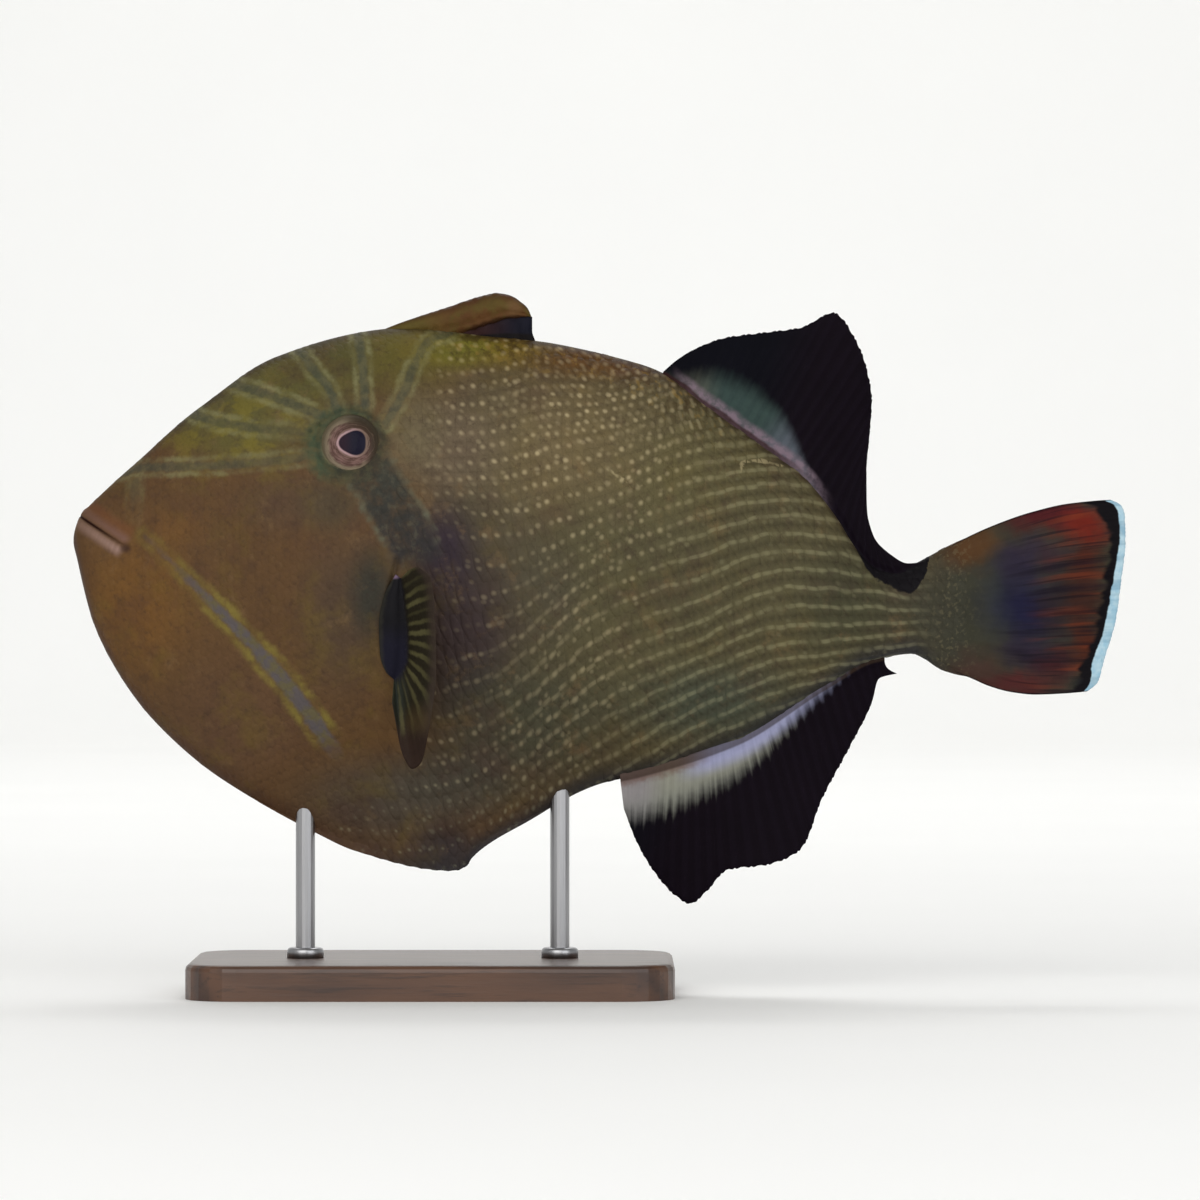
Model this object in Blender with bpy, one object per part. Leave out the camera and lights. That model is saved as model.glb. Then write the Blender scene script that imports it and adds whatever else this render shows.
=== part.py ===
# Indian triggerfish, life size, its left side toward -Y, held over a flat base by two rods.
# Sizes are millimetres. "Along" runs back from the tip of the chin, "up" runs from the lowest fin tip.

import math

import bmesh
import bpy
import numpy as np
from mathutils import Matrix, Vector

mm = 0.001
total_length = 240.0
base_size = (110.0, 70.0, 8.0)
base_along = 82.0
fin_clearance = 12.0
lift = base_size[2] + fin_clearance
gap = 0.3

body_length = 201.0
body_rings = 54
body_sides = 34
station_power = 1.35
keel_half = 1.3
level_of_width = 0.5

back_line = ((0, 83.2), (1.8, 89.6), (4.6, 92.3), (13.5, 100.5), (29.4, 114.2), (46.3, 125.2),
             (75.7, 131.9), (93.9, 130.1), (105.5, 129), (116.4, 127), (128.7, 123.8), (133, 122.2),
             (145.7, 113.5), (159.6, 103.5), (166.7, 98.3), (174.2, 88.9), (179, 81.5), (183.6, 77.2),
             (188, 76.3), (191.1, 77.8), (194.8, 79.7), (199.2, 82), (201, 82.85))
belly_line = ((0, 83.2), (0.7, 78.7), (5.2, 62.2), (21.9, 38.1), (55.4, 16.2), (64.3, 12.1),
              (86.4, 7.6), (89.4, 8.4), (91.7, 11.2), (104, 18.9), (120.2, 27.4), (129.7, 29.6),
              (151.8, 36.9), (172.1, 49.7), (182.6, 55.6), (191.3, 57), (197.7, 53.4), (201, 52.3))
core_belly_line = ((0, 83.2), (0.7, 78.7), (5.2, 62.2), (21.9, 38.1), (55.4, 17.5), (72, 12.8), (88, 13.2),
                   (104, 19.4), (120.2, 27.6), (129.7, 29.6), (151.8, 36.9), (201, 52.3))
half_width_line = ((0, 0), (1.5, 4.2), (5, 6.6), (14, 9.6), (30, 14), (50, 18.2), (72, 20.6),
                   (95, 21), (120, 19.2), (145, 15), (165, 10.2), (180, 6.6), (190, 4.9), (201, 2.2))
top_shape_line = ((0, 0.5), (30, 0.56), (60, 0.6), (100, 0.62), (150, 0.64), (185, 0.52), (201, 0.5))
low_shape_line = ((0, 0.5), (30, 0.72), (55, 1.1), (75, 1.5), (92, 1.5), (110, 1.0), (150, 0.75), (185, 0.52), (201, 0.5))

gill_plane = ((65.9, 8.0), (76.8, 134.5))
stalk_along = 186.0
flap_plane = ((58.6, 15.3), (92.8, 12.1))

eye_at = (63.4, 105.1)
eye_radius = 7.0
eye_half_depth = 5.6
eye_sunk = 3.0
rim_radius = 6.7
rim_thickness = 0.85

mouth_front = (1.6, 88.6)
mouth_corner = (11.6, 82.1)
mouth_slit = 0.7
upper_lip = (1.5, 1.35, 0.7)
lower_lip = (-1.9, 1.6, 0.8)
nostrils = ((56.4, 109.5), (54.6, 107.8))
nostril_radius = 0.6
gill_slit_up = (62.0, 79.0)
gill_slit_depth = 2.4
gill_slit_width = 1.1

spine_line = ((77.6, 132.9), (81, 133.5), (86, 134.5), (91.5, 135.6), (96.7, 136.5), (101, 136.5), (104.2, 135.7))
spine_half_heights = (0.6, 1.7, 2.5, 3.0, 3.3, 2.7, 1.0)
spine_sides = 14
spine_flat = 0.72
spine_web_along = (84.0, 104.9)
spine_web_top = ((84, 133.4), (92, 135.4), (100, 136.4), (104.9, 135.4))
web_half = 0.45

dorsal_rays = 32
dorsal_roots = (134.7, 187.5)
dorsal_tips = ((136.6, 123.8), (142.5, 127.2), (149, 129.6), (158, 130.8), (165.8, 131.8), (173.3, 135.2),
               (178.3, 129.3), (181, 122.4), (182.2, 115.1), (181.7, 107.2), (181, 99.2), (181, 91.2),
               (182.6, 84.1), (186.5, 79.9), (190, 78.5))
anal_rays = 29
anal_roots = (124.6, 185.0)
anal_tips = ((125.6, 21.9), (128.4, 14.4), (132.5, 7.3), (137.7, 1.6), (140.7, 0.0), (144.3, 2.7),
             (149.3, 7.8), (158.5, 9.1), (165.8, 12.5), (170.8, 23.9), (177.2, 35.8), (182.2, 46.1),
             (184, 52.2), (187.9, 52.9))
fin_rows = 8
fin_half = 0.32
ray_height = 0.3
fin_wave = 2.2

caudal_rays = 12
caudal_root_up = (52.6, 82.6)
caudal_edge = ((232.6, 48.9), (235.2, 56), (237.9, 65), (239, 74), (240, 83), (239.8, 89), (237.4, 92.3))
caudal_rows = 12
caudal_half = (1.7, 0.35)

pectoral_rays = 15
lobe_front = ((73.4, 79.0), (71.4, 72), (70.8, 63), (71.4, 54), (73.6, 48.2))
lobe_back = ((75.2, 76.8), (76.2, 69), (76.4, 61), (76.0, 53.5), (74.8, 47.4))
pectoral_tips = ((81.4, 76.6), (83.4, 71.4), (84.2, 58.1), (83.6, 47.9), (81.8, 38.8), (77.5, 32.4))
pectoral_flare = ((0, 8.5), (0.25, 13), (0.6, 11), (1, 4))
pectoral_rows = 8
lobe_share = 0.3
lobe_half = 1.0

rod_radius = 2.2
rod_sides = 20
rod_depth = 9.0
rods = {"front": 53.0, "back": 111.0}
base_corner = 12.0
base_bevel = 1.5

looks = {
    "head": ((0.33, 0.25, 0.09), 0.42, 0.0),
    "trunk": ((0.22, 0.2, 0.12), 0.42, 0.0),
    "tail_stalk": ((0.2, 0.19, 0.12), 0.42, 0.0),
    "pelvic_flap": ((0.2, 0.13, 0.05), 0.45, 0.0),
    "fin": ((0.02, 0.02, 0.03), 0.4, 0.0),
    "caudal": ((0.2, 0.1, 0.07), 0.4, 0.0),
    "pectoral": ((0.28, 0.26, 0.1), 0.4, 0.0),
    "eye": ((0.3, 0.17, 0.15), 0.12, 0.0),
    "stand": ((0.05, 0.045, 0.04), 0.5, 0.0),
    "rod": ((0.55, 0.55, 0.56), 0.3, 1.0),
}


def clear_scene():
    for thing in list(bpy.data.objects):
        bpy.data.objects.remove(thing, do_unlink=True)


def new_collection(name, hidden=False):
    group = bpy.data.collections.new(name)
    bpy.context.scene.collection.children.link(group)
    group.hide_render = hidden
    return group


def new_material(name, look):
    colour, roughness, metallic = looks[look]
    material = bpy.data.materials.new(name)
    material.use_nodes = True
    shader = material.node_tree.nodes["Principled BSDF"]
    shader.inputs["Base Color"].default_value = (*colour, 1)
    shader.inputs["Roughness"].default_value = roughness
    shader.inputs["Metallic"].default_value = metallic
    return material


def place(along, up, side=0.0):
    """World position of a point given in the fish's own sizes."""
    return Vector(((along - total_length / 2) * mm, side * mm, (up + lift) * mm))


def table(points):
    """Smooth curve through (x, y) knots that never overshoots them."""
    xs = np.array([p[0] for p in points], float)
    ys = np.array([p[1] for p in points], float)
    step = np.diff(xs)
    rise = np.diff(ys) / step
    slope = np.concatenate(([rise[0]], np.zeros(len(xs) - 2), [rise[-1]]))
    for i in range(1, len(xs) - 1):
        if rise[i - 1] * rise[i] > 0:
            before = 2 * step[i] + step[i - 1]
            after = step[i] + 2 * step[i - 1]
            slope[i] = (before + after) / (before / rise[i - 1] + after / rise[i])

    def value(x):
        x = min(max(x, xs[0]), xs[-1])
        i = min(max(int(np.searchsorted(xs, x)) - 1, 0), len(xs) - 2)
        t = (x - xs[i]) / step[i]
        ends = (1 + 2 * t) * (1 - t) ** 2 * ys[i] + t * t * (3 - 2 * t) * ys[i + 1]
        bend = t * (1 - t) ** 2 * slope[i] + t * t * (t - 1) * slope[i + 1]
        return float(ends + bend * step[i])

    return value


def root_table(points):
    """The same, smooth around the snout: knots are spaced by the root of the distance along."""
    inner = table([(math.sqrt(x), y) for x, y in points])
    return lambda along: inner(math.sqrt(max(along, 0.0)))


def path(points):
    """Point at share 0..1 of the way, by length, through a row of points."""
    steps = [0.0]
    for a, b in zip(points, points[1:]):
        steps.append(steps[-1] + math.dist(a, b))
    parts = [table([(s / steps[-1], p[k]) for s, p in zip(steps, points)]) for k in range(len(points[0]))]
    return lambda share: tuple(part(share) for part in parts)


back = root_table(back_line)
belly = root_table(belly_line)
core_belly = root_table(core_belly_line)
half_width = root_table(half_width_line)
top_shape = table(top_shape_line)
low_shape = table(low_shape_line)


def faceted(edge):
    """The edge as the straight pieces between the body's rings follow it."""
    stations = [body_length * (k / (body_rings - 1)) ** station_power for k in range(body_rings)]
    heights = [edge(station) for station in stations]
    return lambda along: float(np.interp(along, stations, heights))


back_edge = faceted(back)
belly_edge = faceted(belly)


def body_side(along, up):
    """Half thickness of the body at a point of its side view, 0 outside the outline."""
    top, low = back(along), belly(along)
    core = max(core_belly(along), low)
    middle = core + (top - core) * level_of_width
    width = half_width(along)
    edge = min(keel_half, width)
    if up > middle:
        full = flesh = min((up - middle) / (top - middle), 1.0)
        shape = top_shape(along)
    else:
        full = min((middle - up) / (middle - low), 1.0)
        flesh = min((middle - up) / (middle - core), 1.0)
        shape = low_shape(along)
    return (width - edge) * (1 - flesh * flesh) ** shape + edge * math.sqrt(1 - full * full)


def body_point(t, turn):
    """Surface point at station share t and turn (0 at the back edge, half way at the belly)."""
    along = body_length * t ** station_power
    top, low = back(along), belly(along)
    middle = low + (top - low) * level_of_width
    c = math.cos(turn)
    up = middle + c * (top - middle if c > 0 else middle - low)
    side = body_side(along, up)
    return place(along, up, math.copysign(side, math.sin(turn)) if abs(math.sin(turn)) > 1e-9 else 0.0)


def body_mesh():
    """Closed skin of the whole body: a ball whose rings are laid on the stations."""
    bm = bmesh.new()
    bmesh.ops.create_uvsphere(bm, u_segments=body_sides, v_segments=body_rings, radius=1)
    for vert in bm.verts:
        level = math.acos(max(-1.0, min(1.0, vert.co.z))) / math.pi
        if level < 1e-6:
            vert.co = place(0.0, back(0.0))
        elif level > 1 - 1e-6:
            vert.co = place(body_length, (back(body_length) + belly(body_length)) / 2)
        else:
            t = round(level * body_rings) / (body_rings - 1)
            vert.co = body_point(min(t, 1.0), math.atan2(vert.co.x, vert.co.y))
    bmesh.ops.triangulate(bm, faces=bm.faces[:])
    bmesh.ops.recalc_face_normals(bm, faces=bm.faces[:])
    return bm


def cut_away(bm, origin, normal):
    """Drops what lies on the normal's side of a plane and closes the cut flat."""
    geometry = bm.verts[:] + bm.edges[:] + bm.faces[:]
    done = bmesh.ops.bisect_plane(bm, geom=geometry, dist=1e-7, plane_co=origin, plane_no=normal, clear_outer=True)
    rim = [e for e in done["geom_cut"] if isinstance(e, bmesh.types.BMEdge) and e.is_boundary]
    lid = bmesh.ops.edgeloop_fill(bm, edges=rim)
    bmesh.ops.triangulate(bm, faces=lid["faces"])
    bmesh.ops.recalc_face_normals(bm, faces=bm.faces[:])


def plane_of(line, shift):
    """Plane square to the side view through a line, moved by shift along its normal (down or back)."""
    (a0, u0), (a1, u1) = line
    direction = Vector((a1 - a0, 0, u1 - u0)).normalized()
    normal = Vector((direction.z, 0, -direction.x))
    return place(a0, u0) + normal * shift * mm, normal


def to_object(bm, name, look, group):
    mesh = bpy.data.meshes.new(name)
    bm.to_mesh(mesh)
    bm.free()
    thing = bpy.data.objects.new(name, mesh)
    group.objects.link(thing)
    mesh.materials.append(new_material(name, look))
    return thing


def keep_largest(thing):
    """Leaves only the biggest closed surface of a mesh."""
    bm = bmesh.new()
    bm.from_mesh(thing.data)
    left = set(bm.faces)
    islands = []
    while left:
        island = set()
        stack = [left.pop()]
        while stack:
            face = stack.pop()
            island.add(face)
            near = {f for e in face.edges for f in e.link_faces if f in left}
            left -= near
            stack.extend(near)
        islands.append(island)
    islands.sort(key=lambda faces: sum(f.calc_area() for f in faces))
    for island in islands[:-1]:
        bmesh.ops.delete(bm, geom=list(island), context="FACES")
    loose = [v for v in bm.verts if not v.link_faces]
    bmesh.ops.delete(bm, geom=loose, context="VERTS")
    bm.to_mesh(thing.data)
    bm.free()


def combine(thing, parts, operation):
    """Applies one EXACT boolean of a whole set of parts, then removes them."""
    group = new_collection(thing.name + "_" + operation.lower(), hidden=True)
    for part in parts:
        group.objects.link(part)
        part.display_type = "WIRE"
        part.hide_render = True
    change = thing.modifiers.new(operation, "BOOLEAN")
    change.operation = operation
    change.operand_type = "COLLECTION"
    change.collection = group
    change.solver = "EXACT"
    graph = bpy.context.evaluated_depsgraph_get()
    mesh = bpy.data.meshes.new_from_object(thing.evaluated_get(graph))
    thing.modifiers.clear()
    old = thing.data
    material = old.materials[0]
    thing.data = mesh
    bpy.data.meshes.remove(old)
    mesh.materials.clear()
    mesh.materials.append(material)
    for part in parts:
        bpy.data.objects.remove(part, do_unlink=True)
    bpy.data.collections.remove(group)
    keep_largest(thing)


def loose_part(bm, name):
    mesh = bpy.data.meshes.new(name)
    bmesh.ops.recalc_face_normals(bm, faces=bm.faces[:])
    bm.to_mesh(mesh)
    bm.free()
    return bpy.data.objects.new(name, mesh)


def surface_normal(along, up, mirror):
    """Outward direction of the body's side at a point of the side view."""
    d = 0.5
    run = (body_side(along + d, up) - body_side(along - d, up)) / (2 * d)
    rise = (body_side(along, up + d) - body_side(along, up - d)) / (2 * d)
    return Vector((-run, mirror, -rise)).normalized()


def ball(name, centre, radii, turn=None, sides=20, rings=12):
    bm = bmesh.new()
    bmesh.ops.create_uvsphere(bm, u_segments=sides, v_segments=rings, radius=1)
    bmesh.ops.scale(bm, vec=Vector(radii) * mm, verts=bm.verts)
    if turn:
        bmesh.ops.rotate(bm, matrix=turn, verts=bm.verts)
    bmesh.ops.translate(bm, vec=centre, verts=bm.verts)
    return loose_part(bm, name)


def tube(name, points, radii, sides, flat=1.0):
    """Tube laid along points, its cross sections flattened sideways by flat."""
    bm = bmesh.new()
    rings = []
    for i, (point, radius) in enumerate(zip(points, radii)):
        ahead = points[min(i + 1, len(points) - 1)] - points[max(i - 1, 0)]
        forward = ahead.normalized()
        upward = Vector((0, 0, 1)) - forward * forward.z
        upward.normalize()
        across = forward.cross(upward)
        ring = []
        for k in range(sides):
            turn = 2 * math.pi * k / sides
            offset = across * math.cos(turn) * flat + upward * math.sin(turn)
            ring.append(bm.verts.new(point + offset * radius))
        rings.append(ring)
    for a, b in zip(rings, rings[1:]):
        for k in range(sides):
            bm.faces.new((a[k], a[(k + 1) % sides], b[(k + 1) % sides], b[k]))
    bm.faces.new(rings[0])
    bm.faces.new(rings[-1])
    bmesh.ops.triangulate(bm, faces=bm.faces[:])
    return loose_part(bm, name)


def cylinder(name, along, low, high, radius):
    bm = bmesh.new()
    bmesh.ops.create_cone(bm, cap_ends=True, segments=rod_sides, radius1=radius * mm, radius2=radius * mm,
                          depth=(high - low) * mm)
    bmesh.ops.translate(bm, vec=place(along, (low + high) / 2), verts=bm.verts)
    return loose_part(bm, name)


def eye_centre(mirror):
    along, up = eye_at
    surface = place(along, up, mirror * body_side(along, up))
    return surface - surface_normal(along, up, mirror) * eye_sunk * mm


def eye_turn(mirror):
    normal = surface_normal(*eye_at, mirror)
    return normal.to_track_quat("Z", "Y").to_matrix()


def eye_rim(mirror):
    turn = eye_turn(mirror)
    bm = bmesh.new()
    bmesh.ops.create_circle(bm, segments=8, radius=rim_thickness * mm)
    bmesh.ops.rotate(bm, matrix=Matrix.Rotation(math.pi / 2, 3, "X"), verts=bm.verts)
    bmesh.ops.translate(bm, vec=(rim_radius * mm, 0, 0), verts=bm.verts)
    bmesh.ops.spin(bm, geom=bm.edges[:], axis=(0, 0, 1), cent=(0, 0, 0), steps=24, angle=2 * math.pi,
                   use_merge=True, use_duplicate=False)
    bmesh.ops.rotate(bm, matrix=turn, verts=bm.verts)
    centre = eye_centre(mirror) + turn @ Vector((0, 0, (eye_sunk - 0.1) * mm))
    bmesh.ops.translate(bm, vec=centre, verts=bm.verts)
    return loose_part(bm, "rim")


def eye(name, mirror, grow=0.0):
    radii = (eye_radius + grow, eye_radius + grow, eye_half_depth + grow)
    return ball(name, eye_centre(mirror), radii, eye_turn(mirror))


def mouth_edge(shift, inset, count=15):
    """Points just under the skin from one mouth corner round the snout to the other."""
    (a0, u0), (a1, u1) = mouth_corner, mouth_front
    slope = (u1 - u0) / (a1 - a0)
    front = next(i * 0.02 for i in range(1, 600) if body_side(i * 0.02, u0 + slope * (i * 0.02 - a0) + shift) > 0.05)
    points = []
    for i in range(count):
        swing = math.pi * (i / (count - 1) - 0.5)
        along = front + (a0 - front) * (1 - math.cos(swing))
        up = u0 + slope * (along - a0) + shift
        side = max(body_side(along, up) - inset * math.sin(abs(swing)), 0)
        points.append(place(along + inset * math.cos(swing), up, math.copysign(side, swing)))
    return points


def lip(shift, radius, inset, count=15):
    sizes = [radius * mm * (0.5 + 0.5 * math.sin(math.pi * i / (count - 1))) for i in range(count)]
    return tube("lip", mouth_edge(shift, inset, count), sizes, 10)


def lips():
    return [lip(*upper_lip), lip(*lower_lip)]


def mouth_cutter():
    (a0, u0), (a1, u1) = mouth_corner, mouth_front
    direction = Vector((a1 - a0, 0, u1 - u0))
    reach = direction.length * 2
    bm = bmesh.new()
    bmesh.ops.create_cube(bm, size=1)
    bmesh.ops.scale(bm, vec=(reach * mm, 40 * mm, mouth_slit * mm), verts=bm.verts)
    bmesh.ops.translate(bm, vec=(reach / 2 * mm, 0, 0), verts=bm.verts)
    turn = Matrix.Rotation(-math.atan2(direction.z, direction.x), 3, "Y")
    bmesh.ops.rotate(bm, matrix=turn, verts=bm.verts)
    bmesh.ops.translate(bm, vec=place(a0, u0), verts=bm.verts)
    return loose_part(bm, "slit")


def gill_cutter(mirror):
    """Thin blade along the gill cut, sunk a little into the side."""
    low, high = gill_slit_up
    up = (low + high) / 2
    (a0, u0), (a1, u1) = gill_plane
    along = a0 + (a1 - a0) * (up - u0) / (u1 - u0)
    lean = Matrix.Rotation(math.atan2(a1 - a0, u1 - u0), 3, "Y")
    centre = place(along, up, mirror * body_side(along, up))
    return ball("gill", centre, (gill_slit_width / 2, gill_slit_depth, (high - low) / 2), lean, 12, 10)


def nostril_cutter(at, mirror):
    along, up = at
    return ball("nostril", place(along, up, mirror * body_side(along, up)), [nostril_radius] * 3, None, 8, 6)


def socket(along):
    low = belly(along)
    return cylinder("socket", along, low - 8, low + rod_depth + gap, rod_radius + gap)


def make_head(group):
    bm = body_mesh()
    cut_away(bm, *plane_of(gill_plane, -gap / 2))
    lid_point, lid_normal = plane_of(flap_plane, -gap / 2)
    cut_away(bm, lid_point, lid_normal if lid_normal.z < 0 else -lid_normal)
    head = to_object(bm, "head", "head", group)
    combine(head, [eye_rim(-1), eye_rim(1)] + lips(), "UNION")
    cutters = [eye("eye", side, gap) for side in (-1, 1)] + [gill_cutter(-1), gill_cutter(1)]
    cutters += [nostril_cutter(at, side) for at in nostrils for side in (-1, 1)]
    combine(head, cutters + [mouth_cutter(), socket(rods["front"])], "DIFFERENCE")
    return head


def make_trunk(group):
    bm = body_mesh()
    front_point, front_normal = plane_of(gill_plane, gap / 2)
    cut_away(bm, front_point, -front_normal)
    lid_point, lid_normal = plane_of(flap_plane, -gap / 2)
    cut_away(bm, lid_point, lid_normal if lid_normal.z < 0 else -lid_normal)
    cut_away(bm, place(stalk_along - gap / 2, 60), Vector((1, 0, 0)))
    trunk = to_object(bm, "trunk", "trunk", group)
    combine(trunk, [gill_cutter(-1), gill_cutter(1), socket(rods["back"])], "DIFFERENCE")
    return trunk


def make_stalk(group):
    bm = body_mesh()
    cut_away(bm, place(stalk_along + gap / 2, 60), Vector((-1, 0, 0)))
    return to_object(bm, "tail_stalk", "tail_stalk", group)


def make_flap(group):
    bm = body_mesh()
    lid_point, lid_normal = plane_of(flap_plane, gap / 2)
    cut_away(bm, lid_point, -lid_normal if lid_normal.z < 0 else lid_normal)
    flap = to_object(bm, "pelvic_flap", "pelvic_flap", group)
    keep_largest(flap)
    return flap


def plate(name, look, columns, rows, shape, group):
    """Closed thin plate: the same triangles on both faces. shape(u, v, side) gives each point."""
    bm = bmesh.new()
    bmesh.ops.create_grid(bm, x_segments=rows, y_segments=columns, size=0.5)
    bmesh.ops.triangulate(bm, faces=bm.faces[:], quad_method="FIXED")
    done = bmesh.ops.extrude_face_region(bm, geom=bm.faces[:])
    for item in done["geom"]:
        if isinstance(item, bmesh.types.BMVert):
            item.co.z = 1
    for vert in bm.verts:
        side = -1 if vert.co.z > 0.5 else 1
        vert.co = shape(vert.co.x + 0.5, vert.co.y + 0.5, side)
    bmesh.ops.triangulate(bm, faces=bm.faces[:])
    bmesh.ops.recalc_face_normals(bm, faces=bm.faces[:])
    return to_object(bm, name, look, group)


def ridge(v, rays):
    """1 on a ray's line, 0 half way between two rays."""
    return 0.5 + 0.5 * math.cos(2 * math.pi * v * (rays - 1))


def fade(u):
    return min(1.0, 4 * u, 5 * (1 - u))


def median_fin(name, rays, roots, tips, edge, out, group):
    """Fin on the back or belly edge. edge gives the body's outline, out is +1 above and -1 below."""
    tip = path(tips)

    def shape(u, v, side):
        along = roots[0] + (roots[1] - roots[0]) * v
        up = edge(along) + out * gap * 1.2
        tip_along, tip_up = tip(v)
        x = along + (tip_along - along) * u
        z = up + (tip_up - up) * u
        wave = fin_wave * u * u * math.sin(3 * math.pi * v) * math.sin(math.pi * v)
        half = fin_half * (2.2 - 1.2 * min(4 * u, 1)) + ray_height * ridge(v, rays) * fade(u)
        return place(x, z, wave + side * half)

    return plate(name, "fin", 2 * (rays - 1), fin_rows, shape, group)


def make_caudal(group):
    edge = path(caudal_edge)

    def shape(u, v, side):
        low, high = caudal_root_up
        root = (body_length + gap, low + (high - low) * v)
        end = edge(v)
        bow = 1.6 * math.sin(math.pi * u) * (2 * v - 1) ** 3
        x = root[0] + (end[0] - root[0]) * u
        z = root[1] + (end[1] - root[1]) * u + bow * 1.2
        thick, thin = caudal_half
        half = thin + (thick - thin) * (1 - u) ** 1.5 + ray_height * ridge(v, caudal_rays) * fade(u)
        wave = 1.5 * u * u * math.sin(2 * math.pi * v)
        return place(x, z, wave + side * half)

    return plate("caudal_fin", "caudal", 3 * (caudal_rays - 1), caudal_rows, shape, group)


def make_pectoral(name, mirror, group):
    front, hinge, tip = path(lobe_front), path(lobe_back), path(pectoral_tips)
    flare = table(pectoral_flare)

    def shape(u, v, side):
        a, b, c = front(v), hinge(v), tip(v)
        if u < lobe_share:
            s = u / lobe_share
            along, up = (a[k] + (b[k] - a[k]) * s for k in (0, 1))
            half = 0.35 + (lobe_half - 0.35) * math.sin(math.pi * min(s, 0.75)) * math.sin(math.pi * v) ** 0.5
            out = body_side(along, up) + gap * 1.5 + half
        else:
            s = (u - lobe_share) / (1 - lobe_share)
            along, up = (b[k] + (c[k] - b[k]) * s for k in (0, 1))
            half = 0.3 + 0.35 * (1 - s) * math.sin(math.pi * v) + ray_height * ridge(v, pectoral_rays) * fade(s)
            rest = body_side(*b) + gap * 1.5 + 0.7
            out = max(rest + flare(v) * s ** 0.85, body_side(along, up) + gap * 1.5 + half)
        return place(along, up, mirror * (out + side * half))

    return plate(name, "pectoral", 2 * (pectoral_rays - 1), pectoral_rows, shape, group)


def make_first_dorsal(group):
    """The folded first spine with the web behind it."""
    points = [place(a, max(u, back_edge(a) + gap + h)) for (a, u), h in zip(spine_line, spine_half_heights)]
    smooth = path([tuple(p) for p in points])
    size = table([(i / (len(points) - 1), h * mm) for i, h in enumerate(spine_half_heights)])
    shares = [i / 10 for i in range(11)]
    spine = tube("spine", [Vector(smooth(s)) for s in shares], [size(s) for s in shares], spine_sides, spine_flat)
    top = table(spine_web_top)

    def web(u, v, side):
        low, high = spine_web_along
        along = low + (high - low) * v
        root = back_edge(along) + gap * 1.2
        return place(along, root + (top(along) - root) * u, side * web_half)

    fin = plate("first_dorsal_fin", "fin", 10, 3, web, group)
    combine(fin, [spine], "UNION")
    return fin


def make_base(group):
    bm = bmesh.new()
    bmesh.ops.create_cube(bm, size=1)
    bmesh.ops.scale(bm, vec=Vector(base_size) * mm, verts=bm.verts)
    upright = [e for e in bm.edges if abs(e.verts[0].co.z - e.verts[1].co.z) > 1e-6]
    bmesh.ops.bevel(bm, geom=upright, offset=base_corner * mm, segments=6, affect="EDGES", profile=0.5, material=-1)
    rim = [e for e in bm.edges if all(v.co.z > 1e-6 for v in e.verts) and len(e.link_faces) == 2]
    bmesh.ops.bevel(bm, geom=rim, offset=base_bevel * mm, segments=3, affect="EDGES", profile=0.5, material=-1)
    bmesh.ops.translate(bm, vec=place(base_along, base_size[2] / 2 - lift), verts=bm.verts)
    bmesh.ops.triangulate(bm, faces=bm.faces[:])
    base = to_object(bm, "stand_base", "stand", group)
    floor_of_hole = base_size[2] - lift - 5
    holes = [cylinder("hole", along, floor_of_hole, base_size[2] - lift + 5, rod_radius + gap) for along in rods.values()]
    combine(base, holes, "DIFFERENCE")
    return base


def make_rod(name, along, group):
    low = base_size[2] - lift - 5 + gap
    rod = cylinder(name, along, low, belly(along) + rod_depth, rod_radius)
    group.objects.link(rod)
    rod.data.materials.append(new_material(name, "rod"))
    return rod


def build():
    clear_scene()
    group = new_collection("indian_triggerfish")
    make_head(group)
    make_trunk(group)
    make_stalk(group)
    make_flap(group)
    make_first_dorsal(group)
    median_fin("soft_dorsal_fin", dorsal_rays, dorsal_roots, dorsal_tips, back_edge, 1, group)
    median_fin("anal_fin", anal_rays, anal_roots, anal_tips, belly_edge, -1, group)
    make_caudal(group)
    for name, mirror in (("left", -1), ("right", 1)):
        make_pectoral("pectoral_fin_" + name, mirror, group)
        ball_eye = eye("eye_" + name, mirror)
        group.objects.link(ball_eye)
        ball_eye.data.materials.append(new_material("eye_" + name, "eye"))
    make_base(group)
    for name, along in rods.items():
        make_rod("stand_rod_" + name, along, group)


build()
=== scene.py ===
import math

import bmesh
import bpy
import numpy as np
from mathutils import Matrix, Vector


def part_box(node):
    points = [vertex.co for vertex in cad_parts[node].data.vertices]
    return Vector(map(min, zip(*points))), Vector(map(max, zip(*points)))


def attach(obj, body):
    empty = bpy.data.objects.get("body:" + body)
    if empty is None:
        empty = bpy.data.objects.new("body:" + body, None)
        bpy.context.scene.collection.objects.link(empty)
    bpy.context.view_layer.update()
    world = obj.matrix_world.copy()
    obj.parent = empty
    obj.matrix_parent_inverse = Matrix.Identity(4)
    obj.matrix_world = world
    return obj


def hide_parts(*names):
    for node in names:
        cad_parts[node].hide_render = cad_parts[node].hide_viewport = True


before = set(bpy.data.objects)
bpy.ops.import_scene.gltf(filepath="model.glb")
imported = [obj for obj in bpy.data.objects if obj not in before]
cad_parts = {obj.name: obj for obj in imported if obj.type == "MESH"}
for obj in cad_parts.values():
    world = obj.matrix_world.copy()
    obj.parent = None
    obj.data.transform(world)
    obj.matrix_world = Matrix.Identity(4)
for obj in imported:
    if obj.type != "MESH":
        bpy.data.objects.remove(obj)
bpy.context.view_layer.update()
mm = 0.001
print("frame loaded with", len(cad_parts), "solids")


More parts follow.
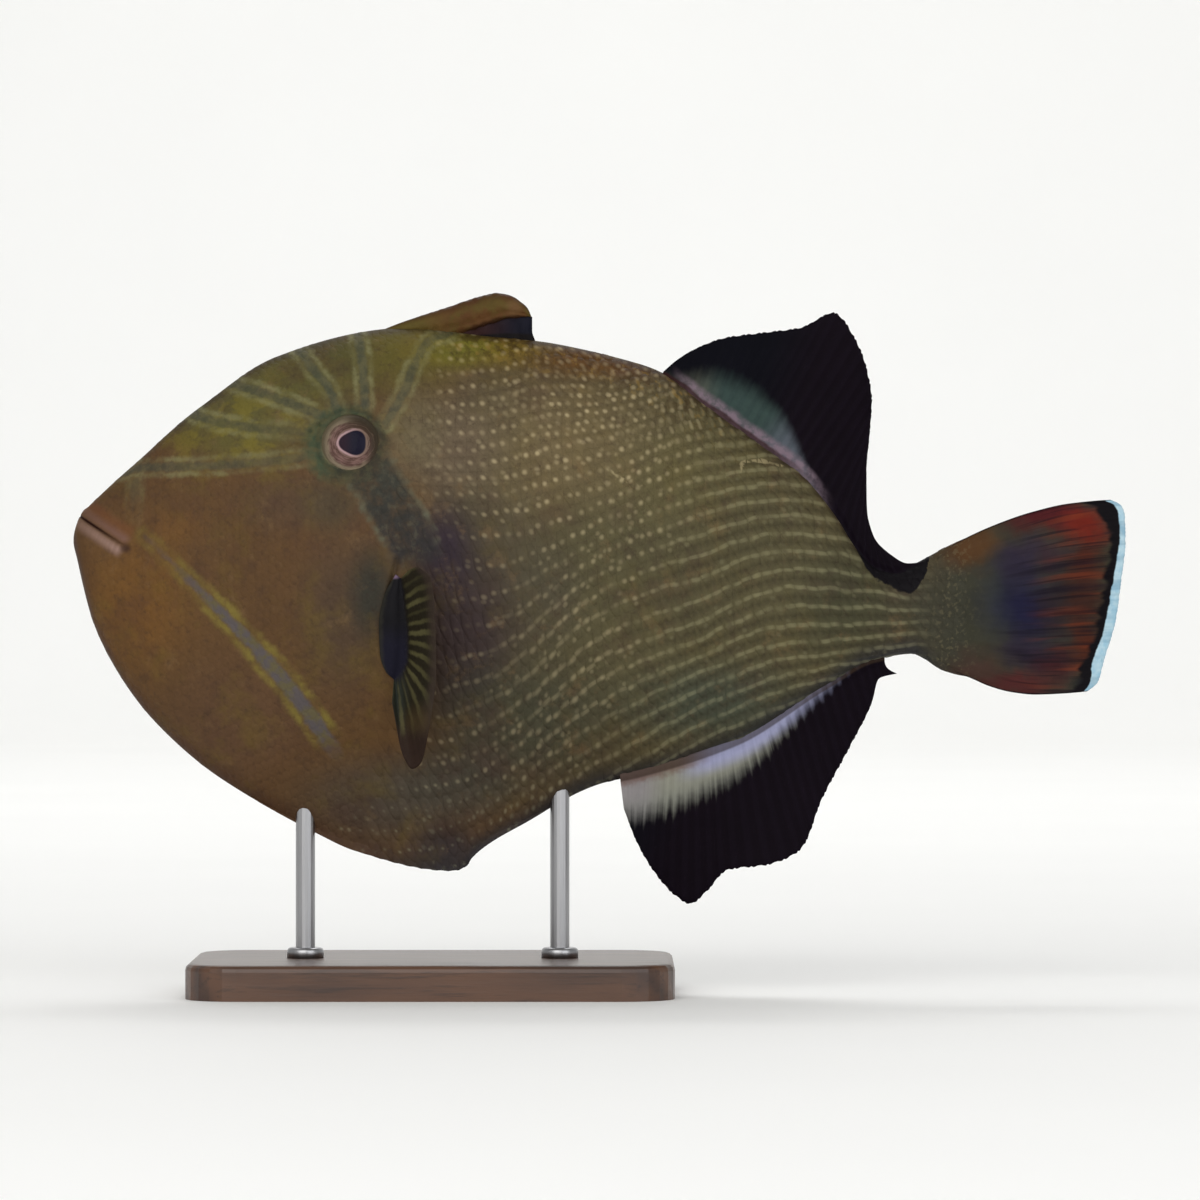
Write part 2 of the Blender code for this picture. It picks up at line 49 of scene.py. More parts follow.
# Shader helpers: a wire is one socket, and arithmetic on wires adds Math nodes.
class Wire:
    def __init__(self, finish, socket):
        self.finish = finish
        self.socket = socket

    def maths(self, operation, *others):
        values = dict(enumerate((self, *others)))
        return self.finish.node("Math", {"operation": operation}, values)

    def __add__(self, other):
        return self.maths("ADD", other)

    def __radd__(self, other):
        return self.maths("ADD", other)

    def __sub__(self, other):
        return self.maths("SUBTRACT", other)

    def __rsub__(self, other):
        return self.maths("MULTIPLY_ADD", -1.0, other)

    def __mul__(self, other):
        return self.maths("MULTIPLY", other)

    def __rmul__(self, other):
        return self.maths("MULTIPLY", other)

    def __truediv__(self, other):
        return self.maths("DIVIDE", other)

    def __pow__(self, other):
        return self.maths("POWER", other)

    def __abs__(self):
        return self.maths("ABSOLUTE")

    def floorAt(self, low):
        return self.maths("MAXIMUM", low)

    def sine(self):
        return self.maths("SINE")

    def nearest(self):
        return self.maths("ROUND")

    def step(self, low, high):  # 0 at low, 1 at high, smooth between; high may be the lower one
        values = {0: self, 1: float(low), 2: float(high)}
        return self.finish.node("MapRange", {"interpolation_type": "SMOOTHSTEP"}, values)

    def bell(self, centre, width):  # 1 at centre, 0 from width away
        return abs(self - centre).step(width, 0)


class Finish:
    def __init__(self, name):
        self.material = bpy.data.materials.new(name)
        self.material.use_nodes = True
        self.tree = self.material.node_tree
        self.shader = self.tree.nodes["Principled BSDF"]

    def node(self, kind, settings=None, values=None, out=0):
        node = self.tree.nodes.new("ShaderNode" + kind)
        for key, value in (settings or {}).items():
            setattr(node, key, value)
        for key, value in (values or {}).items():
            self.feed(node.inputs[key], value)
        return Wire(self, node.outputs[out])

    def feed(self, socket, value):
        if isinstance(value, Wire):
            self.tree.links.new(value.socket, socket)
        elif socket.type == "VECTOR":
            socket.default_value = value[:3]
        else:
            socket.default_value = value

    def place(self):
        return self.node("TexCoord", out=3)

    def placed(self):  # distance back from the chin, height above the lowest fin, and distance aside, in mm
        apart = self.node("SeparateXYZ", values={0: self.place()})
        x, y, z = (Wire(self, apart.socket.node.outputs[k]) for k in range(3))
        return x * 1000 + fish["middle"], z * 1000 - fish["lift"], y * 1000

    def mark(self, name):
        return self.node("Attribute", {"attribute_name": name}, out=2)

    def mix(self, share, below, above):
        return self.node("Mix", {"data_type": "RGBA"}, {0: share, 6: below, 7: above}, out=2)

    def shade(self, colour, amount):  # a colour times a number
        return self.node("VectorMath", {"operation": "SCALE"}, {0: colour, 3: amount})

    def pair(self, x, y):
        return self.node("CombineXYZ", values={0: x, 1: y})

    def noise(self, scale, detail=3, rough=0.6, stretch=None):
        spot = self.place()
        if stretch:
            spot = self.node("Mapping", values={0: spot, 3: stretch})
        values = {"Vector": spot, "Scale": scale, "Detail": detail, "Roughness": rough}
        return self.node("TexNoise", values=values)

    def sway(self, scale, detail=3, rough=0.6):  # noise about zero
        return self.noise(scale, detail, rough) - 0.5

    def combed(self, across, lengthwise=None, detail=2.0):  # noise over one or two wires of a piece's own
        if lengthwise is None:
            settings, values = {"noise_dimensions": "1D"}, {"W": across}
        else:
            settings, values = {"noise_dimensions": "2D"}, {"Vector": self.pair(across, lengthwise)}
        return self.node("TexNoise", settings, {**values, "Scale": 1.0, "Detail": detail})

    def blob(self, spot, centre, radii):  # 1 inside a soft oval, 0 outside
        away = self.node("VectorMath", {"operation": "SUBTRACT"}, {0: spot, 1: (*centre, 0)})
        share = self.node("VectorMath", {"operation": "DIVIDE"}, {0: away, 1: (*radii, 1)})
        return self.node("VectorMath", {"operation": "LENGTH"}, {0: share}, out=1).step(1, 0.15)

    def zoned(self, colour, spot, zones):  # soft ovals of colour laid one over another
        for shade, centre, radii, strength in zones:
            colour = self.mix(self.blob(spot, centre, radii) * strength, colour, tint(*shade))
        return colour

    def bump(self, height, distance, strength):
        return self.node("Bump", values={"Height": height, "Distance": distance, "Strength": strength})

    def finish(self, colour, roughness, normal=None, **fixed):
        self.feed(self.shader.inputs["Base Color"], colour)
        self.feed(self.shader.inputs["Roughness"], roughness)
        if normal:
            self.feed(self.shader.inputs["Normal"], normal)
        for key, value in fixed.items():
            self.shader.inputs[key.replace("_", " ")].default_value = value
        return self.material


def tint(red, green, blue):  # screen colour, 0 to 255, as the linear colour a node takes
    def straight(level):
        share = level / 255
        return share / 12.92 if share <= 0.04045 else ((share + 0.055) / 1.055) ** 2.4
    return (straight(red), straight(green), straight(blue), 1.0)


# The body. Lengths are in mm: back from the chin, up from the lowest fin tip, and aside.
fish = {
    "middle": 120.0,  # distance back from the chin of the frame's own zero
    "lift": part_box("stand_base")[1].z / mm + 12.0,
    "bodyLength": 207.0,
    "coatDepth": 0.3,
    "rings": 264,
    "sides": 272,
    "ringPower": 1.6,
    "turnSpread": 0.15,
    "keelHalf": 1.3,
    "widestLevel": 0.5,
    "backLine": ((0, 83.2), (1.8, 89.6), (4.6, 92.3), (13.5, 100.5), (29.4, 114.2), (46.3, 125.2),
                 (75.7, 131.9), (93.9, 130.1), (105.5, 129.0), (116.4, 127.0), (128.7, 123.8),
                 (133, 122.2), (145.7, 113.5), (159.6, 103.5), (166.7, 98.3), (174.2, 88.9), (179, 81.5),
                 (183.6, 77.2), (188, 76.3), (191.1, 77.8), (194.8, 79.7), (199.2, 82.0), (203, 83.7),
                 (207, 85.2)),
    "bellyLine": ((0, 83.2), (0.7, 78.7), (5.2, 62.2), (21.9, 38.1), (55.4, 16.2), (64.3, 12.1), (86.4, 7.6),
                  (89.4, 8.4), (91.7, 11.2), (104, 18.9), (120.2, 27.4), (129.7, 29.6), (151.8, 36.9),
                  (172.1, 49.7), (182.6, 55.6), (191.3, 57), (197.7, 53.4), (201, 52.3), (207, 51.4)),
    "coreBellyLine": ((0, 83.2), (0.7, 78.7), (5.2, 62.2), (21.9, 38.1), (55.4, 17.5), (72, 12.8), (88, 13.2),
                      (104, 19.4), (120.2, 27.6), (129.7, 29.6), (151.8, 36.9), (201, 52.3), (207, 51.4)),
    "halfWidthLine": ((0, 0), (1.5, 4.2), (5, 6.6), (14, 9.6), (30, 14), (50, 18.2), (72, 20.6), (95, 21),
                      (120, 19.2), (145, 15), (165, 10.2), (180, 6.6), (190, 4.9), (201, 2.4), (207, 0.5)),
    "topShapeLine": ((0, 0.5), (30, 0.56), (60, 0.6), (100, 0.62), (150, 0.64), (185, 0.52), (201, 0.5)),
    "lowShapeLine": ((0, 0.5), (30, 0.72), (55, 1.1), (75, 1.5), (92, 1.5), (110, 1.0), (150, 0.75),
                     (185, 0.52), (201, 0.5)),
    "gillLine": ((65.9, 8.0), (76.8, 134.5)),
}


def curveThrough(points, rooted=False):  # smooth, never past its points; rooted spaces them by their root
    at = np.array([p[0] for p in points], float)
    value = np.array([p[1] for p in points], float)
    if rooted:
        at = np.sqrt(at)
    step = np.diff(at)
    rise = np.diff(value) / step
    slope = np.concatenate(([rise[0]], np.zeros(len(at) - 2), [rise[-1]]))
    for i in range(1, len(at) - 1):
        if rise[i - 1] * rise[i] > 0:
            before, after = 2 * step[i] + step[i - 1], step[i] + 2 * step[i - 1]
            slope[i] = (before + after) / (before / rise[i - 1] + after / rise[i])

    def read(x):
        x = np.asarray(x, float)
        if rooted:
            x = np.sqrt(np.maximum(x, 0))
        x = np.clip(x, at[0], at[-1])
        i = np.clip(np.searchsorted(at, x) - 1, 0, len(at) - 2)
        t = (x - at[i]) / step[i]
        ends = (1 + 2 * t) * (1 - t) ** 2 * value[i] + t * t * (3 - 2 * t) * value[i + 1]
        bend = t * (1 - t) ** 2 * slope[i] + t * t * (t - 1) * slope[i + 1]
        return ends + bend * step[i]

    return read


def pathThrough(points):  # the place at a share, 0 to 1 by length, of the way through the points
    steps = [0.0]
    for a, b in zip(points, points[1:]):
        steps.append(steps[-1] + math.dist(a, b))
    shares = [step / steps[-1] for step in steps]
    parts = [curveThrough(list(zip(shares, values))) for values in zip(*points)]
    return lambda share: tuple(part(share) for part in parts)


back = curveThrough(fish["backLine"], True)
belly = curveThrough(fish["bellyLine"], True)
coreBelly = curveThrough(fish["coreBellyLine"], True)
halfWidth = curveThrough(fish["halfWidthLine"], True)
topShape = curveThrough(fish["topShapeLine"])
lowShape = curveThrough(fish["lowShapeLine"])


def gillPlace(level):  # where the gill line, the edge of the head, runs at a height
    (a0, u0), (a1, u1) = fish["gillLine"]
    return a0 + (a1 - a0) * (level - u0) / (u1 - u0)


def middleLevel(along):
    core = np.maximum(coreBelly(along), belly(along))
    return core + (back(along) - core) * fish["widestLevel"]


def girth(along, turn):  # height and distance aside round the body: turn 0 is the back, pi the belly
    top, low, middle = back(along), belly(along), middleLevel(along)
    upward = np.cos(turn)
    up = middle + upward * np.where(upward > 0, top - middle, middle - low)
    core = np.maximum(coreBelly(along), low)
    flesh = np.where(upward > 0, upward, np.clip((middle - up) / np.maximum(middle - core, 1e-6), 0, 1))
    power = np.where(upward > 0, topShape(along), lowShape(along))
    edge = np.minimum(fish["keelHalf"], halfWidth(along))
    full = np.clip(1 - flesh ** 2, 0, 1) ** power
    return up, (halfWidth(along) - edge) * full + edge * np.abs(np.sin(turn))


def placed(along, up, side):
    return np.stack([(along - fish["middle"]) * mm, side * mm, (up + fish["lift"]) * mm], -1)


def outwards(along, turn, reach=0.15):  # the body's own normal on the side where y is above 0
    def point(a, t):
        up, side = girth(a, t)
        return np.stack([a, side, up], -1)
    ahead, behind = np.minimum(along + reach, fish["bodyLength"]), np.maximum(along - reach, 0)
    length = point(ahead, turn) - point(behind, turn)
    aroundIt = point(along, np.minimum(turn + 0.01, math.pi)) - point(along, np.maximum(turn - 0.01, 0))
    normal = np.cross(length, aroundIt)
    normal *= np.where(normal[..., 1:2] < 0, -1, 1)
    return normal / np.maximum(np.linalg.norm(normal, axis=-1, keepdims=True), 1e-9)


# A level is a height in the side view that runs on round the back and belly by length of skin.
girthTable = {"stations": 300, "turns": 240, "ridgeRate": 0.7}
stations = fish["bodyLength"] * np.linspace(0, 1, girthTable["stations"] + 1) ** fish["ringPower"]
turns = np.linspace(0, math.pi, girthTable["turns"] + 1)
tableUp, tableSide = girth(stations[:, None], turns[None, :])
stepUp, stepSide = np.diff(tableUp, axis=1), np.diff(tableSide, axis=1)
stepArc = np.hypot(stepUp, stepSide)
tableArc = np.concatenate([np.zeros((len(stations), 1)), np.cumsum(stepArc, 1)], 1)
stepLevel = np.maximum(np.abs(stepUp), stepArc * girthTable["ridgeRate"])
tableLevel = -np.concatenate([np.zeros((len(stations), 1)), np.cumsum(stepLevel, 1)], 1)
tableLevel += (middleLevel(stations) - tableLevel[:, girthTable["turns"] // 2])[:, None]


def fromTable(table, along, turn):
    row = np.interp(along, stations, np.arange(len(stations)))
    column = np.clip(turn, 0, math.pi) / math.pi * girthTable["turns"]
    i = np.minimum(row.astype(int), len(stations) - 2)
    j = np.minimum(column.astype(int), girthTable["turns"] - 1)
    a, b = row - i, column - j
    near = table[i, j] * (1 - b) + table[i, j + 1] * b
    far = table[i + 1, j] * (1 - b) + table[i + 1, j + 1] * b
    return near * (1 - a) + far * a


def turnAt(along, level):
    row = np.interp(along, stations, np.arange(len(stations)))
    low = np.minimum(row.astype(int), len(stations) - 2)
    turn = np.empty_like(along)
    for i in np.unique(low):
        pick = low == i
        ends = [np.interp(-level[pick], -tableLevel[k], turns) for k in (i, i + 1)]
        turn[pick] = ends[0] + (ends[1] - ends[0]) * (row[pick] - i)
    return turn


# Form of the skin: what stands out or sinks in.
face = {
    "eye": (63.7, 105.3),
    "eyeRadius": 7.4,
    "eyeHalfDepth": 4.6,
    "eyeSunk": 2.65,
    "socket": (5.8, 6.7, 0.42),  # radius of the floor, radius of the edge, depth
    "rim": (7.2, 0.8, 0.2),  # radius, half width, height
    "eyeFold": (8.5, 1.0, 0.16, 0.08),  # radius, half width, depth, how much that varies
    "nostrils": ((56.4, 109.5), (54.6, 107.8)),
    "nostril": ((0.9, 0.35, 0.16), (0, 0.42, -0.6)),  # rim and hole: radius, half width, height
    "mouth": ((1.6, 88.6), (11.6, 82.1)),
    "lips": ((1.35, 0.95, 0.22), (-1.5, 1.2, 0.2)),  # above the slit, half width, height
    "lipCreases": ((2.9, 0.7, -0.2), (-3.4, 0.8, -0.25)),
    "slit": (0.28, 0.7),  # half width, depth
    "corner": (12.4, 81.6),  # of the mouth
    "cornerForm": ((1.5, 0.6, 0.12), (0.2, 0.9, -0.26)),
    "gillSlit": ((72.6, 70.5), (74.6, 79.0)),
    "gillForm": ((1.3, 0.8, 0.3), (0, 0.5, -0.9)),
    "browCrease": ((49.0, 105.2), (57.5, 106.6)),  # ahead of the eye
    "browDepth": 0.3,
    "flapFolds": (0.16, 2.2),  # height, how close
    "unevenness": 0.1,
}


def lineShares(along, up, ends):  # how far along a line, 0 to 1, and how far above it, in mm
    (a0, u0), (a1, u1) = ends
    length = math.hypot(a1 - a0, u1 - u0)
    run = ((along - a0) * (a1 - a0) + (up - u0) * (u1 - u0)) / length ** 2
    rise = ((up - u0) * (a1 - a0) - (along - a0) * (u1 - u0)) / length
    return run, rise


def ramp(x, low, high):
    t = np.clip((x - low) / (high - low), 0, 1)
    return t * t * (3 - 2 * t)


def hill(x, centre, width):
    return np.exp(-((x - centre) / width) ** 2)


def hills(x, forms):  # each form: centre, half width, height
    return sum(height * hill(x, centre, width) for centre, width, height in forms)


eyeAt = np.array(face["eye"])[:, None]
eyeNormal = outwards(eyeAt[0], turnAt(*eyeAt))[0]
eyeTilt = [float(eyeNormal[k] / eyeNormal[1]) for k in (0, 2)]


def eyeAway(along, up):  # distance from the eye's middle, measured on the cheek's slope
    across, rise = along - face["eye"][0], up - face["eye"][1]
    lean = across * eyeTilt[0] + rise * eyeTilt[1]
    return (across * across + rise * rise + lean * lean) ** 0.5


def relief(along, up):
    apart = eyeAway(along, up)
    floor, edge, depth = face["socket"]
    radius, width, height = face["rim"]
    angle = np.arctan2(up - face["eye"][1], along - face["eye"][0])
    height = height * (1 + 0.5 * np.sin(angle) + 0.22 * np.sin(3 * angle + 1) + 0.12 * np.sin(17 * angle))
    form = -depth * ramp(apart, edge, floor) + height * hill(apart, radius, width)
    radius, width, depth, change = face["eyeFold"]
    form -= (depth + change * np.sin(2 * angle)) * hill(apart, radius, width)
    for a, u in face["nostrils"]:
        form += hills(np.hypot(along - a, up - u), face["nostril"])
    run, rise = lineShares(along, up, face["mouth"])
    shut = ramp(run, 1.16, 0.9)
    slitHalf, slitDepth = face["slit"]
    form += shut * hills(rise, face["lips"] + face["lipCreases"]) * ramp(along, 1.2, 5.0)
    form -= shut * slitDepth * hill(rise, 0, slitHalf) * ramp(along, 0.6, 3.0)
    form += hills(np.hypot(along - face["corner"][0], up - face["corner"][1]), face["cornerForm"])
    run, rise = lineShares(along, up, face["gillSlit"])
    gape = ramp(run, -0.12, 0.1) * ramp(run, 1.1, 0.9)
    form += gape * hills(rise, face["gillForm"])
    run, rise = lineShares(along, up, face["browCrease"])
    form -= face["browDepth"] * ramp(run, -0.3, 0.4) * ramp(run, 1.15, 0.9) * hill(rise, 0, 0.9)
    fan = ramp(up, 13.5, 10.5) * ramp(along, 60, 68) * ramp(along, 94, 88)
    height, closeness = face["flapFolds"]
    form += height * fan * np.sin((along + up * 0.5) * closeness)
    soft = np.sin(along / 8.3 + 1.0) * np.sin(up / 9.7 + along / 31) + 0.6 * np.sin(along / 5.1 - up / 6.3)
    return form + face["unevenness"] * soft * ramp(along, 6, 20)


# Markings. Rows of scales are guided by their heights at a few stations; the other numbers are in mm.
rowGuide = {
    "rows": (-17, -14, -11, -8, -5, -2, 1, 4, 7),
    86.0: (120.5, 109.9, 99.9, 89.8, 69.5, 49.0, 32.0, 17.0, 3.0),
    97.4: (121.8, 111.7, 100.3, 88.9, 70.5, 52.5, 37.6, 24.0, 10.0),
    108.8: (124.5, 114.5, 104.2, 91.9, 76.5, 62.0, 47.0, 34.5, 22.0),
    120.2: (122.7, 114.7, 105.8, 94.6, 83.2, 71.8, 56.5, 41.7, 28.0),
    143.0: (128.6, 120.6, 112.4, 104.2, 93.0, 79.8, 64.6, 53.1, 41.3),
    161.2: (130.0, 122.0, 114.0, 105.5, 96.2, 85.0, 72.3, 59.7, 48.6),
    177.2: (132.0, 123.0, 114.0, 104.0, 94.0, 83.4, 72.0, 60.5, 52.4),
    189.7: (121.0, 113.0, 105.0, 97.0, 88.0, 79.0, 70.2, 61.7, 54.5),
    201.0: (118.0, 110.0, 102.0, 94.0, 86.0, 78.0, 69.5, 61.5, 54.0),
}
columnPitch = 2.42
columnLean = (0.94, 0.34)  # how much of a column's way goes back, and up
guideStations = [key for key in rowGuide if key != "rows"]
wholeRows = np.arange(-26, 17)


def guideHeights(station):
    rows, heights = rowGuide["rows"], rowGuide[station]
    read = curveThrough(list(zip(rows, heights)))
    low = np.minimum(wholeRows - rows[0], 0) * (heights[1] - heights[0]) / (rows[1] - rows[0])
    high = np.maximum(wholeRows - rows[-1], 0) * (heights[-1] - heights[-2]) / (rows[-1] - rows[-2])
    return read(wholeRows) + low + high


guideGrid = np.array([guideHeights(station) for station in guideStations])
guideAt = np.arange(60.0, 226.0)
guideReach = 14


def evened(values):
    weight = np.exp(-(np.arange(-guideReach, guideReach + 1) / 5.5) ** 2)
    return np.convolve(np.pad(values, guideReach, mode="edge"), weight / weight.sum(), "valid")


rowLines = [evened(curveThrough(list(zip(guideStations, line)))(guideAt)) for line in guideGrid.T]


def rowHeights(along):
    return np.array([np.interp(along, guideAt, line) for line in rowLines])


def rowAndColumn(along, level):  # counts of rows down and of scales back, with fractions, and mm across a row
    heights, further = rowHeights(along), rowHeights(along + 1)
    k = np.clip((heights > level).sum(0) - 1, 0, len(wholeRows) - 2)
    every = np.arange(len(along))
    upper, lower = heights[k, every], heights[k + 1, every]
    pitch = (upper - lower) / np.hypot(1, further[k, every] - upper)
    row = wholeRows[k] + (upper - level) / (upper - lower)
    return row, (columnLean[0] * along + columnLean[1] * level) / columnPitch, pitch


def rowPlace(row, column):  # the other way round: along and level of a scale
    low = np.clip(np.floor(row).astype(int) - wholeRows[0], 0, len(wholeRows) - 2)
    share = row - wholeRows[0] - low
    along = column * columnPitch / columnLean[0] - 25.0  # a first guess, made better each time round
    for _ in range(14):
        heights = rowHeights(along)
        every = np.arange(len(along))
        level = heights[low, every] * (1 - share) + heights[low + 1, every] * share
        along = 0.5 * along + 0.5 * (column * columnPitch - columnLean[1] * level) / columnLean[0]
    return along, level


# Bands of the head: points, and strength at each end.
bands = (
    (((11.0, 99.0), (17.5, 99.8), (29.0, 99.9), (42.6, 100.6), (57.2, 102.3)), 0.9, 0.6),
    (((22.5, 115.0), (28.5, 111.7), (33.3, 109.9), (43.1, 108.5), (56.0, 107.2)), 1.0, 0.35),
    (((31.0, 121.5), (37.8, 118.6), (46.5, 115.6), (57.1, 111.4)), 0.9, 0.8),
    (((48.6, 130.5), (52.2, 125.9), (55.2, 121.8), (58.6, 117.8), (60.8, 112.6)), 0.9, 1.0),
    (((62.8, 135.0), (65.2, 129.0), (66.3, 123.3), (67.0, 113.6)), 0.9, 1.0),
    (((86.0, 130.6), (81.0, 128.2), (78.6, 124.0), (75.9, 117.0), (71.8, 109.4)), 0.7, 0.9),
    (((14.4, 96.6), (14.4, 89.3)), 0.6, 0.1),
)
cheekStripe = ((16.9, 84.1), (31.6, 69.7), (44.4, 56.4), (53.2, 45.4), (60.4, 34.9))
gillBand = ((67.0, 101.0), (70.2, 95.5), (73.6, 90.0), (77.2, 83.5), (79.6, 75.0))
scars = (((121.4, 99.6), (124.4, 97.5), (126.5, 96.2), (130.1, 95.0)),
         ((152.0, 98.4), (152.8, 100.9), (156.5, 101.3), (161.5, 100.2)))
sheathEdge = ((174.2, 89.5), (178.3, 82.5), (181.7, 75.7), (187.0, 72.3), (191.0, 71.0), (193.0, 73.4),
              (194.8, 76.6), (196.0, 88.0))


def nearestOn(points, along, up, pieces=24):  # distance to a smooth line, and the share of its length there
    path = pathThrough(points)
    shares = np.linspace(0, 1, pieces + 1)
    a, u = path(shares)
    best = np.full(along.shape, 99.0)
    run = np.zeros(along.shape)
    for k in range(pieces):
        da, du = a[k + 1] - a[k], u[k + 1] - u[k]
        t = np.clip(((along - a[k]) * da + (up - u[k]) * du) / (da * da + du * du), 0, 1)
        away = np.hypot(along - a[k] - t * da, up - u[k] - t * du)
        nearer = away < best
        best[nearer] = away[nearer]
        run[nearer] = (shares[k] + t * (shares[1] - shares[0]))[nearer]
    return best, run


def markings(along, up, level):
    row, column, pitch = rowAndColumn(along, level)
    bandGap = np.full(along.shape, 99.0)
    bandShade = np.zeros(along.shape)
    for points, first, last in bands:
        away, run = nearestOn(points, along, up)
        nearer = away < bandGap
        bandGap[nearer] = away[nearer]
        bandShade[nearer] = (first + (last - first) * run)[nearer]
    stripeGap, stripeRun = nearestOn(cheekStripe, along, up)
    gillGap, gillRun = nearestOn(gillBand, along, up)
    scarGap = np.min([nearestOn(points, along, up)[0] for points in scars], axis=0)
    sheathRise = up - curveThrough(sheathEdge)(along)
    sheathRise = np.where(along < sheathEdge[0][0], -9.0, np.minimum(sheathRise, (along - 174) * 2))
    return {"row": row, "column": column, "pitch": pitch, "scarGap": scarGap, "backGap": back(along) - up,
            "bellyGap": up - belly(along), "bandGap": bandGap, "bandShade": bandShade, "stripeGap": stripeGap,
            "stripeRun": stripeRun, "gillGap": gillGap, "gillRun": gillRun, "sheathRise": sheathRise}


def writeMarks(mesh, marks):
    for name, values in marks.items():
        attribute = mesh.attributes.new(name, "FLOAT", "POINT")
        attribute.data.foreach_set("value", np.ascontiguousarray(values, np.float32))


def linked(name, data):
    made = bpy.data.objects.new(name, data)
    bpy.context.scene.collection.objects.link(made)
    return made


def addPiece(mesh, name, material, nodes=()):
    piece = linked(name, mesh)
    mesh.materials.clear()
    mesh.materials.append(material)
    mesh.polygons.foreach_set("use_smooth", np.ones(len(mesh.polygons), bool))
    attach(piece, "root")
    if nodes:
        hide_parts(*nodes)
    return piece


def moveTo(bm, spots):
    for vert, spot in zip(bm.verts, spots):
        vert.co = spot


def faceOutwards(bm):
    bm.normal_update()
    bmesh.ops.recalc_face_normals(bm, faces=bm.faces[:])
    bm.normal_update()


def meshOf(bm, name):
    mesh = bpy.data.meshes.new(name)
    bm.to_mesh(mesh)
    bm.free()
    return mesh


# Skin and scales share this finish, so that both carry the same markings.
skinLook = {
    "ground": tint(92, 67, 41),
    "gain": 0.88,
    "zones": (  # colour, centre (back, up), radii, strength; the ovals hold the body's own colours and some painted shade
        ((84, 78, 54), (135, 75), (75, 85), 1.0),
        ((84, 78, 54), (150, 75), (75, 75), 1.0),
        ((82, 74, 56), (96, 95), (22, 60), 0.9),
        ((104, 72, 35), (15, 70), (20, 26), 0.9),
        ((88, 64, 40), (44, 72), (24, 26), 0.7),
        ((74, 60, 48), (62, 66), (14, 27), 0.75),
        ((48, 50, 44), (69, 71), (8, 16), 0.85),
        ((80, 64, 51), (50, 92), (18, 10), 0.5),
        ((70, 65, 50), (60, 91), (11, 9), 0.6),
        ((90, 66, 49), (38, 42), (26, 22), 0.6),
        ((82, 76, 46), (36, 112), (27, 14), 0.95),
        ((78, 74, 42), (58, 126), (26, 18), 0.95),
        ((90, 82, 38), (76, 126), (18, 16), 0.95),
        ((118, 98, 30), (94, 127), (24, 7), 0.85),
        ((92, 60, 23), (121, 124), (24, 6), 0.95),
        ((108, 94, 66), (112, 104), (34, 22), 0.8),
        ((102, 88, 70), (86, 104), (16, 16), 0.8),
        ((96, 88, 56), (140, 98), (24, 18), 0.5),
        ((74, 69, 55), (107, 70), (14, 18), 0.7),
        # the next two, dark behind the breast fin, are the flank's own dark colour with the fin's painted
        # shadow
        ((53, 42, 45), (90, 60), (18, 36), 0.9),
        ((46, 36, 47), (85, 80), (10, 18), 0.9),
        ((66, 66, 52), (104, 42), (30, 22), 0.85),
        ((78, 70, 60), (74, 24), (32, 15), 0.9),
        ((66, 72, 60), (146, 46), (30, 13), 0.8),
        ((62, 62, 44), (178, 68), (20, 22), 0.8),
        ((78, 54, 38), (1, 72), (6, 16), 0.6),
        ((112, 78, 36), (24, 86), (10, 6), 0.4),
        ((92, 86, 44), (40, 107), (22, 10), 0.75),
        ((84, 82, 44), (50, 119), (22, 11), 0.7),
        ((98, 98, 36), (88, 127), (13, 7), 0.75),
        ((100, 90, 66), (78, 108), (11, 15), 0.8),
        ((68, 68, 48), (62, 107), (13, 12), 0.7),
        ((74, 72, 62), (90, 29), (24, 12), 0.7),
        ((52, 46, 47), (85, 13), (13, 8), 0.9),
        ((58, 57, 45), (196, 66), (16, 20), 0.9),
    ),
    "mottles": (  # noise, where it starts and is full, strength, colour
        ((61, 4, 0.65), (0.5, 0.72), 0.36, (66, 44, 40)),
        ((190, 5, 0.7), (0.5, 0.7), 0.32, (54, 40, 34)),
        ((170, 5, 0.7), (0.54, 0.74), 0.32, (116, 92, 62)),
        ((640, 3, 0.6), (0.56, 0.7), 0.3, (52, 38, 30)),
    ),
    "bandCore": tint(62, 66, 54),
    "bandEdge": tint(122, 120, 84),
    "stripeCore": tint(82, 78, 80),
    "stripeEdge": tint(118, 106, 48),
    "gillCore": tint(48, 50, 44),
    "gillEdge": tint(92, 94, 76),
    "dot": tint(172, 158, 124),
    "line": tint(152, 148, 114),
    "sheath": tint(9, 6, 10),
    "roughness": 0.55,
    "specular": 0.09,
}


# Colours of the tail, which start on the end of the skin.
tailLook = {
    "base": tint(57, 56, 45),
    "zones": (  # colour, centre (back, up), radii, strength
        ((86, 57, 32), (204, 82), (11, 8), 0.85),
        ((68, 46, 40), (206, 53), (12, 7), 0.8),
        ((44, 47, 54), (212, 70), (9, 15), 0.8),
        ((50, 40, 54), (217, 80), (10, 8), 0.8),
        ((27, 26, 54), (218, 67), (10, 12), 0.92),
        ((46, 33, 46), (219, 56), (9, 6), 0.8),
        ((40, 28, 34), (225, 68), (8, 15), 0.75),
        ((58, 31, 25), (231, 69), (7, 21), 0.85),
        ((76, 24, 28), (222, 89), (17, 6), 0.95),
        ((112, 33, 22), (230, 86), (8, 6), 0.9),
        ((72, 30, 22), (231, 79), (6, 7), 0.7),
        ((54, 32, 44), (224, 80), (6, 6), 0.6),
        ((76, 34, 34), (216, 50), (14, 4.5), 0.9),
        ((60, 24, 28), (224, 54.5), (8, 6), 0.8),
        ((78, 34, 20), (230, 58), (5, 8), 0.75),
        ((22, 24, 28), (232, 49.5), (7, 3.5), 0.8),
        ((38, 33, 54), (215, 76), (7, 8), 0.6),
        ((38, 31, 50), (216, 59), (7, 6), 0.6),
    ),
    "black": tint(12, 9, 13),
    "edge": tint(146, 182, 200),
}


